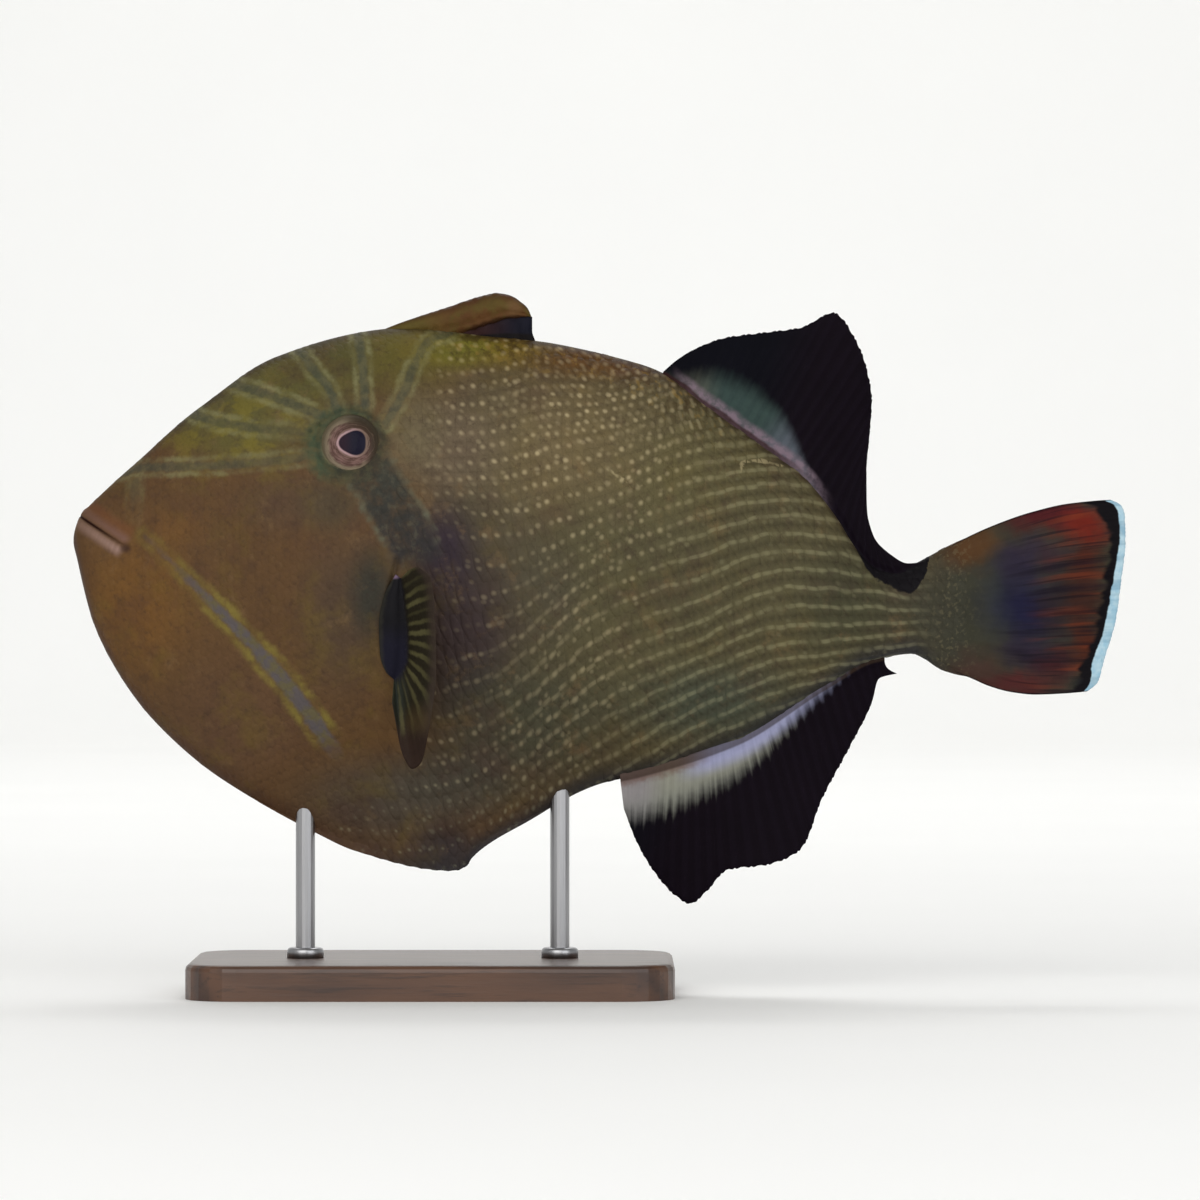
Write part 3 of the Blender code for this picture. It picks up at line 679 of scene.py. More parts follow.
def tailGround(f, along, up):
    warped = (along + f.sway(110) * 9, up + f.sway(143) * 8)
    colour = f.zoned(tailLook["base"], f.pair(*warped), tailLook["zones"])
    flecks = f.noise(1150, 2, 0.5).step(0.54, 0.66) * along.step(209, 198) * along.step(186, 194)
    colour = f.mix(flecks * 0.26, colour, tint(126, 118, 88))
    return f.shade(colour, 0.6 + 0.46 * f.noise(230, 4, 0.65))


def skinGround(f, spot, along, up):
    colour = f.zoned(skinLook["ground"], spot, skinLook["zones"])
    broad = f.noise(45, 4, 0.6)
    fine = f.noise(420)
    grain = f.noise(1300)
    mottle = 0.52 + 0.36 * broad + 0.26 * fine + 0.34 * grain
    colour = f.shade(colour, mottle * skinLook["gain"])
    onHead = along.step(110, 70)
    colour = f.mix(f.noise(83, 4, 0.65).step(0.48, 0.72) * (0.12 + 0.22 * onHead), colour, tint(100, 84, 32))
    for kind, reach, strength, shade in skinLook["mottles"]:
        colour = f.mix(f.noise(*kind).step(*reach) * strength, colour, tint(*shade))
    gold = f.noise(130, 3, 0.6, (1.0, 1.0, 1.7)).step(0.45, 0.6) * f.blob(spot, (38, 108), (30, 18))
    colour = f.mix(gold * 0.45, colour, tint(116, 104, 34))
    backGap, bellyGap = f.mark("backGap"), f.mark("bellyGap")
    worms = f.noise(520, 3, 0.55, (1.0, 1.0, 0.5))
    nearBack = backGap.step(13, 2) * along.step(80, 92) * along.step(160, 136)
    colour = f.mix(worms.step(0.5, 0.4) * nearBack * 0.5, colour, tint(58, 42, 20))
    colour = f.mix(worms.step(0.54, 0.66) * nearBack * 0.5, colour, tint(124, 98, 46))
    # painted shade: the skin darkens along the edge of the back
    backEdgeShade = backGap.step(2.6, 0.0) * 0.55 * along.step(4, 30)
    colour = f.mix(backEdgeShade, colour, tint(40, 24, 20))
    lowTone = f.mix(along.step(56, 84), tint(56, 32, 26), tint(34, 37, 44))
    colour = f.mix(bellyGap.step(6.0, 0) * (0.5 + 0.3 * along.step(60, 84)), colour, lowTone)
    colour = f.mix((along + (broad - 0.5) * 8).step(190, 202), colour, tailGround(f, along, up))
    return colour, broad, fine, grain


def fleckField(f, row, column, pitch, width, jitter, side):
    # how far off the middle of the nearest fleck is, and that fleck's own chance
    rowCount = row.nearest()
    halfStep = abs(rowCount.maths("MODULO", 2.0)) * 0.5
    columnCount = (column + halfStep).nearest()
    cell = f.node("CombineXYZ", values={0: rowCount, 1: columnCount, 2: side.step(-0.1, 0.1) * 7})
    chances = f.node("SeparateColor", values={0: f.node("TexWhiteNoise", values={0: cell}, out=1)})
    chance, second, third = (Wire(f, chances.socket.node.outputs[k]) for k in range(3))
    rowAway = (row - rowCount) * pitch + (second - 0.5) * jitter
    columnAway = (column + halfStep - columnCount) * width + (third - 0.5) * jitter
    return rowAway, columnAway, chance, rowCount


def fleckMasks(f, spot, along, up, side):
    # pale flecks at each scale's middle, which join into lines towards the tail
    row, column, pitch = f.mark("row"), f.mark("column"), f.mark("pitch")
    onFlank = (along - gillPlace(up) + f.sway(70, 2, 0.5) * 8).step(4.0, 11.0)
    lowFlank = (along - 58 - (up - 18) * 1.5 + f.sway(70, 2, 0.5) * 9).step(-2.0, 6.0)
    onFlank = onFlank.floorAt(lowFlank * up.step(38, 30))
    rearward = (along + 0.3 * (60 - up) + f.sway(60, 2, 0.5) * 14).step(120, 140)
    ticks = f.blob(spot, (146, 112), (22, 9))
    wobble = f.sway(330, 2, 0.5) * 0.8
    jitter = 0.95 - 0.6 * rearward
    rowAway, columnAway, chance, rowCount = fleckField(f, row, column, pitch, columnPitch, jitter, side)
    rowAway = rowAway + wobble * 0.5 + f.sway(150, 2, 0.5) * 1.7 * rearward
    rowGap = (abs(rowAway) - ticks * 0.9).floorAt(0.0)
    joined = (rearward * 0.9).floorAt(f.blob(spot, (112, 54), (32, 32)) * 0.8) * (1 - ticks)
    columnGap = columnAway * (1 + 0.5 * ticks) * (1 - 0.5 * joined)
    away = (rowGap * rowGap + columnGap * columnGap) ** 0.5
    flapward = f.blob(spot, (80, 18), (34, 16))
    dots = (away + wobble * 0.5 + 0.3 * flapward).step(0.86, 0.1) * (0.25 + 0.75 * chance)
    moreRows, moreColumns = 1.45, 1.2  # of the small dots under the soft dorsal fin
    tight, closer, luck, _ = fleckField(f, row * moreRows, column * moreColumns, pitch / moreRows,
                                        columnPitch / moreColumns, 0.7, side)
    away = (tight * tight + closer * closer) ** 0.5
    crowd = f.blob(spot, (119, 114), (30, 13))
    small = (away + wobble * 0.6).step(0.78, 0.12) * (0.15 + 0.85 * luck)
    dots = f.node("Mix", {"data_type": "FLOAT"}, {0: crowd, 2: dots, 3: small})
    dots = dots.floorAt(small * luck.step(0.66, 0.95) * 0.55)
    patchy = f.combed(column * 0.55, rowCount * 7.3)
    beaded = 1 - 0.45 * (abs(columnAway) / (0.5 * columnPitch)) ** 1.5
    lines = abs(rowAway).step(0.66, 0.2) * joined * patchy.step(0.26, 0.5) * beaded
    # painted shadow of the breast fin: the pale flecks fade behind and under it
    finShadow = f.blob(spot, (82, 76), (12, 34)).floorAt(f.blob(spot, (74, 38), (13, 16)) * 0.6)
    dim = f.blob(spot, (96, 62), (20, 34))
    bright = (0.62 + 0.38 * f.blob(spot, (116, 108), (40, 26))) * (1 - 0.4 * dim)
    shown = onFlank * (1 - 0.85 * finShadow) * along.step(198, 188) * bright
    flecks = (dots * (1 - 0.45 * rearward)).floorAt(lines * 0.75) * shown
    between = (abs(row - rowCount) * 2).step(0.35, 0.95) * onFlank * along.step(196, 184)
    hatch = ((column * 9.4 + 1.5 * f.sway(420)).sine() * 0.5 + 0.5) * between * rearward
    return flecks, rearward, between, hatch


def skinFinish():
    f = Finish("fishSkin")
    along, up, side = f.placed()
    spot = f.pair(along, up)
    colour, broad, fine, grain = skinGround(f, spot, along, up)
    flecks, rearward, between, hatch = fleckMasks(f, spot, along, up, side)
    colour = f.mix(between * (0.08 + 0.16 * rearward), colour, tint(44, 38, 24))
    colour = f.mix(hatch * 0.22, colour, tint(38, 34, 24))
    paler = f.mix(rearward, skinLook["dot"], skinLook["line"])
    paler = f.mix(up.step(34, 20), paler, tint(138, 138, 112))
    paler = f.mix(0.4, paler, f.shade(colour, 2.4))
    colour = f.mix(flecks * 0.85, colour, paler)
    scar = (f.mark("scarGap") + f.sway(340, 2, 0.5) * 1.2).step(0.5, 0.1)
    colour = f.mix(scar * 0.5, colour, tint(160, 146, 110))

    # bands round the eye, the stripe over the cheek, and the broad band down to the breast fin
    waver = f.sway(240) * 0.9
    ragged = f.sway(760) * 1.7
    soft = f.noise(300).step(0.25, 0.65)
    patchy = 0.3 + 0.7 * f.noise(170).step(0.36, 0.6)
    gap, shade = f.mark("bandGap") + waver * 1.4 + ragged * 0.7, f.mark("bandShade")
    colour = f.mix(gap.bell(1.7, 1.25) * shade * patchy * (0.22 + 0.5 * soft), colour, skinLook["bandEdge"])
    core = f.mix(f.noise(420).step(0.35, 0.65), skinLook["bandCore"], tint(86, 84, 62))
    colour = f.mix(gap.step(1.4, 0.5) * shade * 0.75, colour, core)
    run = f.mark("stripeRun")
    off = f.mark("stripeGap") + waver * 2.0 + ragged * 0.6 - (0.55 + 1.3 * run.step(0.0, 0.8))
    shade = run.step(-0.05, 0.4) * run.step(1.02, 0.9)
    edging = off.bell(0.8, 1.7) * (0.3 + 0.55 * shade) * run.step(1.0, 0.88) * (0.4 + 0.5 * soft) * patchy
    colour = f.mix(edging, colour, skinLook["stripeEdge"])
    core = f.mix(f.noise(330).step(0.42, 0.66) * 0.8, skinLook["stripeCore"], tint(92, 86, 56))
    colour = f.mix(off.step(0.5, -0.7) * (0.15 + 0.7 * shade), colour, core)
    run = f.mark("gillRun")
    gap = f.mark("gillGap") + waver * 3.0 + ragged
    shade = run.step(-0.02, 0.1) * run.step(1.0, 0.8)
    beads = (run * 66.0 + waver * 6.0).sine() * 0.3 + 0.7
    core = f.mix(run.step(0.1, 0.8), skinLook["gillCore"], tint(44, 42, 42))
    colour = f.mix(gap.step(6.6, 3.8) * shade * (0.55 + 0.4 * soft), colour, core)
    dapple = f.noise(540)
    colour = f.mix(gap.step(5.5, 3.5) * shade * dapple.step(0.5, 0.72) * 0.45, colour, tint(80, 77, 62))
    colour = f.mix(gap.step(5.5, 3.5) * shade * dapple.step(0.5, 0.3) * 0.45, colour, tint(36, 36, 32))
    edging = gap.bell(5.6, 1.5) * shade * run.step(1.0, 0.7) * beads * patchy
    colour = f.mix(edging * (0.15 + 0.5 * soft), colour, skinLook["gillEdge"])

    # eye surround, lips, nostrils, sheath of the rear fin
    across, above, ring = along - face["eye"][0], up - face["eye"][1], eyeAway(along, up)
    ringTone = f.mix((across - above * 0.6).step(-3, 4), tint(52, 68, 50), tint(48, 46, 38))
    ringTone = f.mix(dapple.step(0.4, 0.65) * 0.6, ringTone, tint(80, 78, 52))
    reachOut = ring + waver * 5.0 + ragged * 1.4 + 0.12 * above + 0.08 * across
    colour = f.mix(reachOut.step(11.0, 7.0) * (0.55 + 0.35 * soft), colour, ringTone)
    colour = f.mix((ring + waver * 2.6 + ragged * 0.6).bell(7.3, 1.2) * soft * 0.55, colour, tint(38, 38, 30))
    warm = (ring + waver * 1.8 + ragged * 0.5).step(7.0, 6.2) * across.step(3.0, -4.0) * above.step(5.0, -1.0)
    colour = f.mix(warm * (0.4 + 0.4 * soft), colour, tint(114, 106, 82))
    # painted shade in the socket round the eye, weaker under the pale crescent
    colour = f.mix((ring + waver * 0.8).step(6.6, 6.0) * (1 - 0.8 * warm) * 0.8, colour, tint(54, 48, 38))
    mouthRun, mouthRise = lineShares(along, up, face["mouth"])
    shut = mouthRun.step(1.15, 0.97)
    wrinkles = f.combed(mouthRun * 16.0 + mouthRise * 0.3)
    colour = f.mix(mouthRise.bell(1.5, 1.9) * shut * (0.35 + 0.35 * mouthRun), colour, tint(112, 82, 74))
    colour = f.mix((mouthRise + waver).bell(3.4, 2.2) * shut * 0.35, colour, tint(112, 66, 44))
    lower = f.shade(tint(148, 120, 110), 0.78 + 0.36 * wrinkles)
    share = (mouthRise + waver * 0.7).bell(-1.45, 2.1) * shut * (0.35 + 0.4 * mouthRun)
    colour = f.mix(share, colour, lower)
    # painted shade in the slit between the lips
    colour = f.mix(mouthRise.bell(0.1, 0.5) * shut * mouthRun.step(1.1, 0.3), colour, tint(34, 10, 9))
    # painted shade in the dip at the mouth's corner
    corner = f.blob(spot, (12.6, 81.2), (1.9, 1.6))
    colour = f.mix(corner * 0.7, colour, tint(54, 36, 32))
    # painted shade in the nostril holes
    for spotAt in face["nostrils"]:
        hole = f.node("VectorMath", {"operation": "DISTANCE"}, {0: spot, 1: (*spotAt, 0)}, out=1)
        colour = f.mix(hole.step(0.7, 0.2) * 0.3, colour, tint(34, 38, 32))
    sheath = (f.mark("sheathRise") + waver * 1.8 + (fine - 0.5) * 2.0).step(-0.3, 0.4)
    colour = f.mix(sheath, colour, skinLook["sheath"])
    # each plate's own tone, and painted shade darkening towards each plate's edge
    colour = f.shade(colour, 0.93 + 0.14 * f.mark("tone") - 0.07 * f.mark("edge"))

    height = flecks * 0.25 + fine * 0.4 + grain * 0.35
    rough = skinLook["roughness"] + 0.12 * (broad - 0.5) + 0.1 * (fine - 0.5)
    return f.finish(colour, rough, f.bump(height, 0.0003, 0.6), Specular_IOR_Level=skinLook["specular"])


skinMaterial = skinFinish()
print("skin finish ready:", len(skinMaterial.node_tree.nodes), "nodes")


def sphereToBody(bm):  # along, turn and side of every vertex of the round start shape
    co = np.array([v.co for v in bm.verts], float)
    co /= np.linalg.norm(co, axis=1)[:, None]
    share = np.arccos(np.clip(co[:, 2], -1, 1)) / math.pi
    turn = np.abs(np.arctan2(co[:, 1], co[:, 0]))
    turn = turn + fish["turnSpread"] * np.sin(2 * turn)
    return fish["bodyLength"] * share ** fish["ringPower"], turn, np.where(co[:, 1] < 0, -1.0, 1.0), share


def closeUp(bm, wanted):  # finer faces where wanted(along, up) says
    along, turn, _, _ = sphereToBody(bm)
    up, _ = girth(along, turn)
    chosen = wanted(along, up)
    bm.verts.ensure_lookup_table()
    edges = [e for e in bm.edges if chosen[e.verts[0].index] and chosen[e.verts[1].index]]
    bmesh.ops.subdivide_edges(bm, edges=edges, cuts=1, use_grid_fill=True)
    bm.verts.index_update()


def nearEye(reach, inner=0.0):
    def wanted(along, up):
        apart = np.hypot(along - face["eye"][0], up - face["eye"][1])
        return (apart < reach) & (apart > inner)
    return wanted


def nearMouth(along, up):
    run, rise = lineShares(along, up, face["mouth"])
    return (run < 1.25) & (np.abs(rise) < 2.4) & (along < 15)


def nearGill(along, up):
    run, rise = lineShares(along, up, face["gillSlit"])
    return (run > -0.15) & (run < 1.15) & (np.abs(rise) < 1.8)


def unwrapped(along, turn, side):  # the skin laid flat: one band of the map for each side
    share = fromTable(tableArc, along, turn) / np.maximum(np.interp(along, stations, tableArc[:, -1]), 1e-6)
    return 0.02 + 0.96 * (along / fish["bodyLength"]) ** 0.85, 0.5 + side * (0.01 + 0.48 * share)


def makeSkin():
    bm = bmesh.new()
    bmesh.ops.create_uvsphere(bm, u_segments=fish["sides"], v_segments=fish["rings"], radius=1)
    bm.verts.index_update()
    closeUp(bm, nearEye(10.8))
    closeUp(bm, nearEye(7.9, 4.6))
    closeUp(bm, nearMouth)
    closeUp(bm, nearGill)
    along, turn, side, share = sphereToBody(bm)
    up, aside = girth(along, turn)
    end = share > 1 - 1e-6
    up = np.where(end, middleLevel(along), up)
    aside = np.where(end, 0.0, aside)
    spots = placed(along, up, aside * side)
    moveTo(bm, spots)
    faceOutwards(bm)
    normals = np.array([v.normal for v in bm.verts])
    push = (relief(along, up) - fish["coatDepth"]) * ramp(along, -0.5, 0.6) * mm
    push = np.where(end, 0, push)
    moveTo(bm, spots + normals * push[:, None])
    level = fromTable(tableLevel, along, turn)
    mapLayer = bm.loops.layers.uv.new("OFBake")
    across, down = unwrapped(along, turn, side)
    middleLine = np.sin(turn) < 1e-4
    for f in bm.faces:
        lean = sum(down[v.index] - 0.5 for v in f.verts if not middleLine[v.index])
        for loop in f.loops:
            k = loop.vert.index
            height = 0.5 + math.copysign(abs(down[k] - 0.5), lean) if middleLine[k] else down[k]
            loop[mapLayer].uv = (across[k], height)
    bmesh.ops.triangulate(bm, faces=[f for f in bm.faces if len(f.verts) > 4])
    mesh = meshOf(bm, "fish_skin")
    marks = markings(along, up, level)
    marks["tone"], marks["edge"] = np.full(len(along), 0.5), np.zeros(len(along))
    writeMarks(mesh, marks)
    nodes = ("head", "trunk", "tail_stalk", "pelvic_flap")
    return addPiece(mesh, "fish_skin", skinMaterial, nodes)


skin = makeSkin()
print("skin:", len(skin.data.vertices), "vertices")


# Scales: low plates that overlap nothing and follow the rows; finer ones on the head.
scales = {
    "flankHeight": 0.11,
    "headHeight": 0.05,
    "headToneAndEdgeShade": 0.35,  # how much the head's plates keep of the others' tone that varies plate to plate and of their painted shade at the edges
    "headPitch": (2.1, 1.75),  # between rows, along a row
    "headLean": 0.42,
    "cover": 0.95,  # how much of its own place a plate fills
    "patch": 0.003,
    "seed": 11,
}


def plateShape():  # one six-sided plate: x along the row, y across it, z its height as a share
    bm = bmesh.new()
    bmesh.ops.create_circle(bm, cap_ends=True, segments=6, radius=1)
    top = bm.faces[:]
    for thickness, depth in ((0.1, 1.0), (0.34, 0.22)):
        bmesh.ops.inset_region(bm, faces=top, thickness=thickness, depth=depth, use_boundary=True)
    bmesh.ops.poke(bm, faces=top)
    bmesh.ops.scale(bm, vec=(scales["cover"] * 0.667, scales["cover"] * 0.577, 1), verts=bm.verts)
    bmesh.ops.rotate(bm, matrix=Matrix.Rotation(math.pi / 2, 3, "Z"), verts=bm.verts)
    bmesh.ops.triangulate(bm, faces=bm.faces[:])
    bm.verts.index_update()
    points = np.array([v.co for v in bm.verts])
    faces = np.array([[v.index for v in f.verts] for f in bm.faces])
    bm.free()
    points[:, 2] -= points[:, 2].min()
    points[:, 2] /= points[:, 2].max()
    return points, faces


def latticeSpots(rows, columns):
    row, column = np.meshgrid(rows, columns, indexing="ij")
    return row.ravel().astype(float), (column + 0.5 * (np.abs(row) % 2)).ravel().astype(float)


def headPlace(row, column):
    pitchUp, pitchAlong = scales["headPitch"]
    lean = scales["headLean"]
    x, y = column * pitchAlong, row * pitchUp
    return 20 + x * math.cos(lean) + y * math.sin(lean), 90 - y * math.cos(lean) + x * math.sin(lean)


def clearOfFeatures(along, level, turn):
    up, _ = girth(along, turn)
    keep = eyeAway(along, up) > 8.6
    run, rise = lineShares(along, up, face["mouth"])
    keep &= ~((run < 1.3) & (np.abs(rise) < 4.4))
    run, rise = lineShares(along, up, face["gillSlit"])
    keep &= ~((run > -0.15) & (run < 1.15) & (np.abs(rise) < 1.9))
    for a, u in face["nostrils"]:
        keep &= np.hypot(along - a, up - u) > 1.6
    return keep & (along > 3.5) & (along < 204.0) & (turn > 0.015) & (turn < math.pi - 0.02)


def makeScales(name, side):
    shape, faces = plateShape()
    rng = np.random.default_rng(scales["seed"])
    batches = []
    for region in ("flank", "head"):
        if region == "flank":
            row, column = latticeSpots(np.arange(-25, 16), np.arange(24, 114))
            finder, height = rowPlace, scales["flankHeight"]
        else:
            row, column = latticeSpots(np.arange(-34, 50), np.arange(-24, 44))
            finder, height = headPlace, scales["headHeight"]
        along, level = finder(row, column)
        inTable = (along > 3) & (along < 205)
        low = np.interp(along, stations, tableLevel[:, -1])
        high = np.interp(along, stations, tableLevel[:, 0])
        inTable &= (level > low + 0.8) & (level < high - 0.8)
        past = along - gillPlace(level)
        inTable &= (past > 1.3) if region == "flank" else (past < -0.9)
        row, column, along, level = (x[inTable] for x in (row, column, along, level))
        keep = clearOfFeatures(along, level, turnAt(along, level))
        row, column = row[keep], column[keep]
        size = rng.uniform(0.92, 1.04, len(row))[:, None]
        cornerRow = row[:, None] + shape[None, :, 1] * size
        cornerColumn = column[:, None] + shape[None, :, 0] * size
        lift = (shape[None, :, 2] * 1.25 - 0.25) * height * rng.uniform(0.75, 1.2, len(row))[:, None]
        a, v = finder(cornerRow.ravel(), cornerColumn.ravel())
        batches.append((a, v, lift.ravel(), row))
    along = np.clip(np.concatenate([b[0] for b in batches]), 0.5, 206.5)
    level = np.concatenate([b[1] for b in batches])
    lift = np.concatenate([b[2] for b in batches])
    count = sum(len(b[3]) for b in batches)
    turn = turnAt(along, level)
    up, aside = girth(along, turn)
    normal = outwards(along, turn)
    push = relief(along, up) - fish["coatDepth"] + lift
    point = np.stack([along, aside, up], -1) + normal * push[:, None]
    co = placed(point[:, 0], point[:, 2], point[:, 1] * side)
    allFaces = (faces[None] + np.arange(count)[:, None, None] * len(shape)).reshape(-1, 3)
    corners = co[allFaces[:, :3]]
    tilt = np.cross(corners[:, 1] - corners[:, 0], corners[:, 2] - corners[:, 0])
    if tilt[:, 1].sum() * side < 0:
        allFaces = allFaces[:, ::-1]
    mesh = bpy.data.meshes.new(name)
    mesh.from_pydata(co, [], allFaces)
    marks = markings(along, up, level)
    strength = np.repeat((1.0, scales["headToneAndEdgeShade"]), [len(b[3]) for b in batches])
    marks["tone"] = np.repeat(0.5 + strength * rng.uniform(-0.5, 0.5, count), len(shape))
    # painted shade: each plate darker towards its low edge
    marks["edge"] = np.outer(strength, (1 - shape[:, 2]) ** 2).ravel()
    writeMarks(mesh, marks)
    centres = np.arange(count) * len(shape) + int(np.argmin(np.hypot(shape[:, 0], shape[:, 1])))
    across, down = unwrapped(along[centres], turn[centres], side * np.ones(count))
    local = shape[:, :2] / np.abs(shape[:, :2]).max() * scales["patch"] / 2
    uv = np.stack([across, down], -1)[:, None, :] + local[None]
    layer = mesh.uv_layers.new(name="OFBake")
    layer.data.foreach_set("uv", uv.reshape(-1, 2)[allFaces.ravel()].astype(np.float32).ravel())
    return addPiece(mesh, name, skinMaterial)


for pieceName, side in (("scales_left", -1), ("scales_right", 1)):
    piece = makeScales(pieceName, side)
    print(pieceName, len(piece.data.polygons), "faces")


# Fins: thin plates with raised rays. Each point knows how far out it is and how far along the root.
def finPlate(name, columns, rows, shape):
    bm = bmesh.new()
    bmesh.ops.create_grid(bm, x_segments=rows, y_segments=columns, size=0.5)
    done = bmesh.ops.extrude_face_region(bm, geom=bm.faces[:])
    for item in done["geom"]:
        if isinstance(item, bmesh.types.BMVert):
            item.co.z = 1
    co = np.array([v.co for v in bm.verts])
    reach, spread = co[:, 0] + 0.5, co[:, 1] + 0.5
    facing = np.where(co[:, 2] > 0.5, -1.0, 1.0)
    along, up, aside = shape(reach, spread, facing)
    moveTo(bm, placed(along, up, aside))
    faceOutwards(bm)
    mesh = meshOf(bm, name)
    rise = np.maximum(up - back(along), belly(along) - up)
    writeMarks(mesh, {"reach": reach, "spread": spread, "along": along, "rise": rise})
    return mesh


def readMark(mesh, name):
    values = np.zeros(len(mesh.vertices), np.float32)
    mesh.attributes[name].data.foreach_get("value", values)
    return values


def rayRidge(reach, spread, rays, split=0.45):  # round ray lines that part in two on the way out
    phase = spread * (rays - 1)
    single = np.exp(-((phase - np.round(phase)) / 0.2) ** 2)
    parted = np.minimum(np.abs(phase - np.round(phase) - 0.17), np.abs(phase - np.round(phase) + 0.17))
    double = np.exp(-(parted / 0.1) ** 2)
    share = ramp(reach, split, split + 0.18)
    return single * (1 - share) + double * share


medianFins = {
    "soft_dorsal_fin": {
        "rays": 32, "roots": (134.2, 194.0), "out": 1, "perRay": 8, "rows": 44,
        "hook": 0.0,
        "tips": ((134.6, 121.6), (137.6, 124.2), (142.5, 127.2), (149, 129.6), (158, 130.8), (165.8, 131.8),
                 (173.3, 135.2), (178.3, 129.3), (181, 122.4), (182.2, 115.1), (181.7, 107.2), (181, 99.2),
                 (181, 91.2), (182.6, 84.1), (186.5, 79.9), (190.4, 77.9), (194.6, 78.3)),
        "pale": ((134, -1.5), (138.2, 0.4), (141, 3.6), (145, 7.4), (150.6, 10), (155, 11.2), (160, 10.6),
                 (163, 8.6), (166, 4.4), (168.5, 0.5), (172, -3), (196, -3)),
    },
    "anal_fin": {
        "rays": 29, "roots": (124.6, 185.0), "out": -1, "perRay": 8, "rows": 44,
        "hook": 4.0,  # the last ray's end is drawn out into a thin spur
        "tips": ((125.6, 21.9), (128.4, 14.4), (132.5, 7.3), (137.7, 1.6), (140.7, 0.0), (144.3, 2.7),
                 (149.3, 7.8), (158.5, 9.1), (165.8, 12.5), (170.8, 23.9), (177.2, 35.8), (182.2, 46.1),
                 (183.8, 51.6), (187.9, 52.8)),
        "pale": ((124, 7.5), (128, 9.8), (136, 9.8), (142, 9.0), (150, 7.8), (156, 6.2), (160, 4.8),
                 (164, 3.2), (168, 1.7), (172, 0.5), (178, -1.6), (190, -3)),
    },
}
finForm = {"wave": 2.2, "membrane": 0.16, "ray": 0.24, "rootHalf": 1.3, "sunk": 1.6, "notch": 0.35}


def medianShape(plan):
    tip = pathThrough(plan["tips"])
    edge = back if plan["out"] > 0 else belly

    def shape(reach, spread, facing):
        root = plan["roots"][0] + (plan["roots"][1] - plan["roots"][0]) * spread
        rootUp = edge(root) - plan["out"] * finForm["sunk"]
        tipAlong, tipUp = tip(spread)
        ridge = rayRidge(reach, spread, plan["rays"])
        length = np.hypot(tipAlong - root, tipUp - rootUp)
        notch = finForm["notch"] * ramp(length, 4, 20) / np.maximum(length, 2)
        out = reach * (1 - (1 - ridge) * ramp(reach, 0.9, 1.0) * notch)
        along = root + (tipAlong - root) * out ** (1 + plan["hook"] * ramp(spread, 0.95, 1.0))
        up = rootUp + (tipUp - rootUp) * out
        wave = finForm["wave"] * reach ** 2 * np.sin(3 * math.pi * spread) * np.sin(math.pi * spread)
        thin = finForm["membrane"] + finForm["ray"] * ridge * (1 - 0.75 * reach)
        half = thin + (finForm["rootHalf"] - thin) * ramp(reach * length, 3.2, 0.5)
        return along, up, wave + facing * half * ramp(reach, 1.02, 0.96)
    return shape


darkLook = {
    "black": tint(13, 7, 14),
    "rayBlack": tint(19, 13, 22),
    "dorsalLine": tint(116, 100, 110),
    "analRoot": tint(106, 80, 72),
}


def darkFinish(name, rays):
    f = Finish(name)
    along, up, side = f.placed()
    phase = f.mark("spread") * (rays - 1.0)
    ray = abs(phase - phase.nearest()).step(0.36, 0.08)
    fine = f.noise(500)
    colour = f.mix(ray * 0.35, darkLook["black"], darkLook["rayBlack"])
    colour = f.mix((along - up * 0.3).step(118, 134), tint(8, 8, 15), colour)
    colour = f.shade(colour, 0.7 + 0.6 * f.noise(120, 4, 0.6))
    return f, colour, along, up, phase, ray, fine


def dorsalFinish():
    f, colour, along, up, phase, ray, fine = darkFinish("softDorsal", 32)
    uneven = f.sway(190)
    streaks = f.combed(phase * 2.2) - 0.5
    inside = (f.mark("pale") + uneven * 3.0 + streaks * 1.5).step(-2.6, 4.4)
    tone = f.mix(along.step(141, 149), tint(86, 88, 78), tint(58, 74, 70))
    tone = f.mix((along - up).step(46, 58), tone, tint(86, 92, 100))
    tone = f.shade(f.mix(ray * 0.2, tone, tint(40, 52, 54)), 0.62 + 0.46 * f.noise(330))
    colour = f.mix(inside * 0.9, colour, tone)
    rise = f.mark("rise") + uneven * 1.6
    length = along.step(136, 142) * along.step(174, 166)
    line = rise.step(3.6, 1.4) * length * (0.35 + 0.6 * fine.step(0.3, 0.6))
    colour = f.mix(line, colour, darkLook["dorsalLine"])
    colour = f.mix(rise.step(0.9, 0.1) * 0.8 * along.step(172, 158), colour, tint(46, 22, 22))
    return f.finish(colour, 0.5 + 0.15 * (fine - 0.5), f.bump(fine, 0.0003, 0.4), Specular_IOR_Level=0.03)


def analFinish():
    f, colour, along, _, phase, ray, fine = darkFinish("analFin", 29)
    streaks = f.combed(phase * 2.6, detail=3.0) - 0.5
    depth = f.mark("rise")
    edge = streaks * 3.2 * depth.step(1, 6) + (ray - 0.5) * 0.9 + (fine - 0.5) * 2.0
    inside = (f.mark("pale") + edge).step(-2.2, 4.0)
    pale = f.mix(along.step(136, 129), tint(130, 130, 118), tint(132, 128, 128))
    pale = f.mix(along.step(136, 146) * depth.step(5.5, 1.5), pale, tint(144, 146, 174))
    pale = f.mix(depth.step(3.0, 8.0) * 0.5, pale, tint(108, 110, 104))
    pale = f.shade(pale, 0.78 + 0.3 * f.noise(260) + 0.26 * (streaks + 0.5))
    colour = f.mix(inside * 0.92, colour, pale)
    rooted = (depth + (fine - 0.5) * 3.0).step(2.6, 0.4) * along.step(148, 138)
    colour = f.mix(rooted * 0.7, colour, darkLook["analRoot"])
    colour = f.mix(depth.step(0.7, 0.1) * 0.7, colour, tint(52, 40, 32))
    return f.finish(colour, 0.5 + 0.15 * (fine - 0.5), f.bump(fine, 0.0003, 0.4), Specular_IOR_Level=0.03)


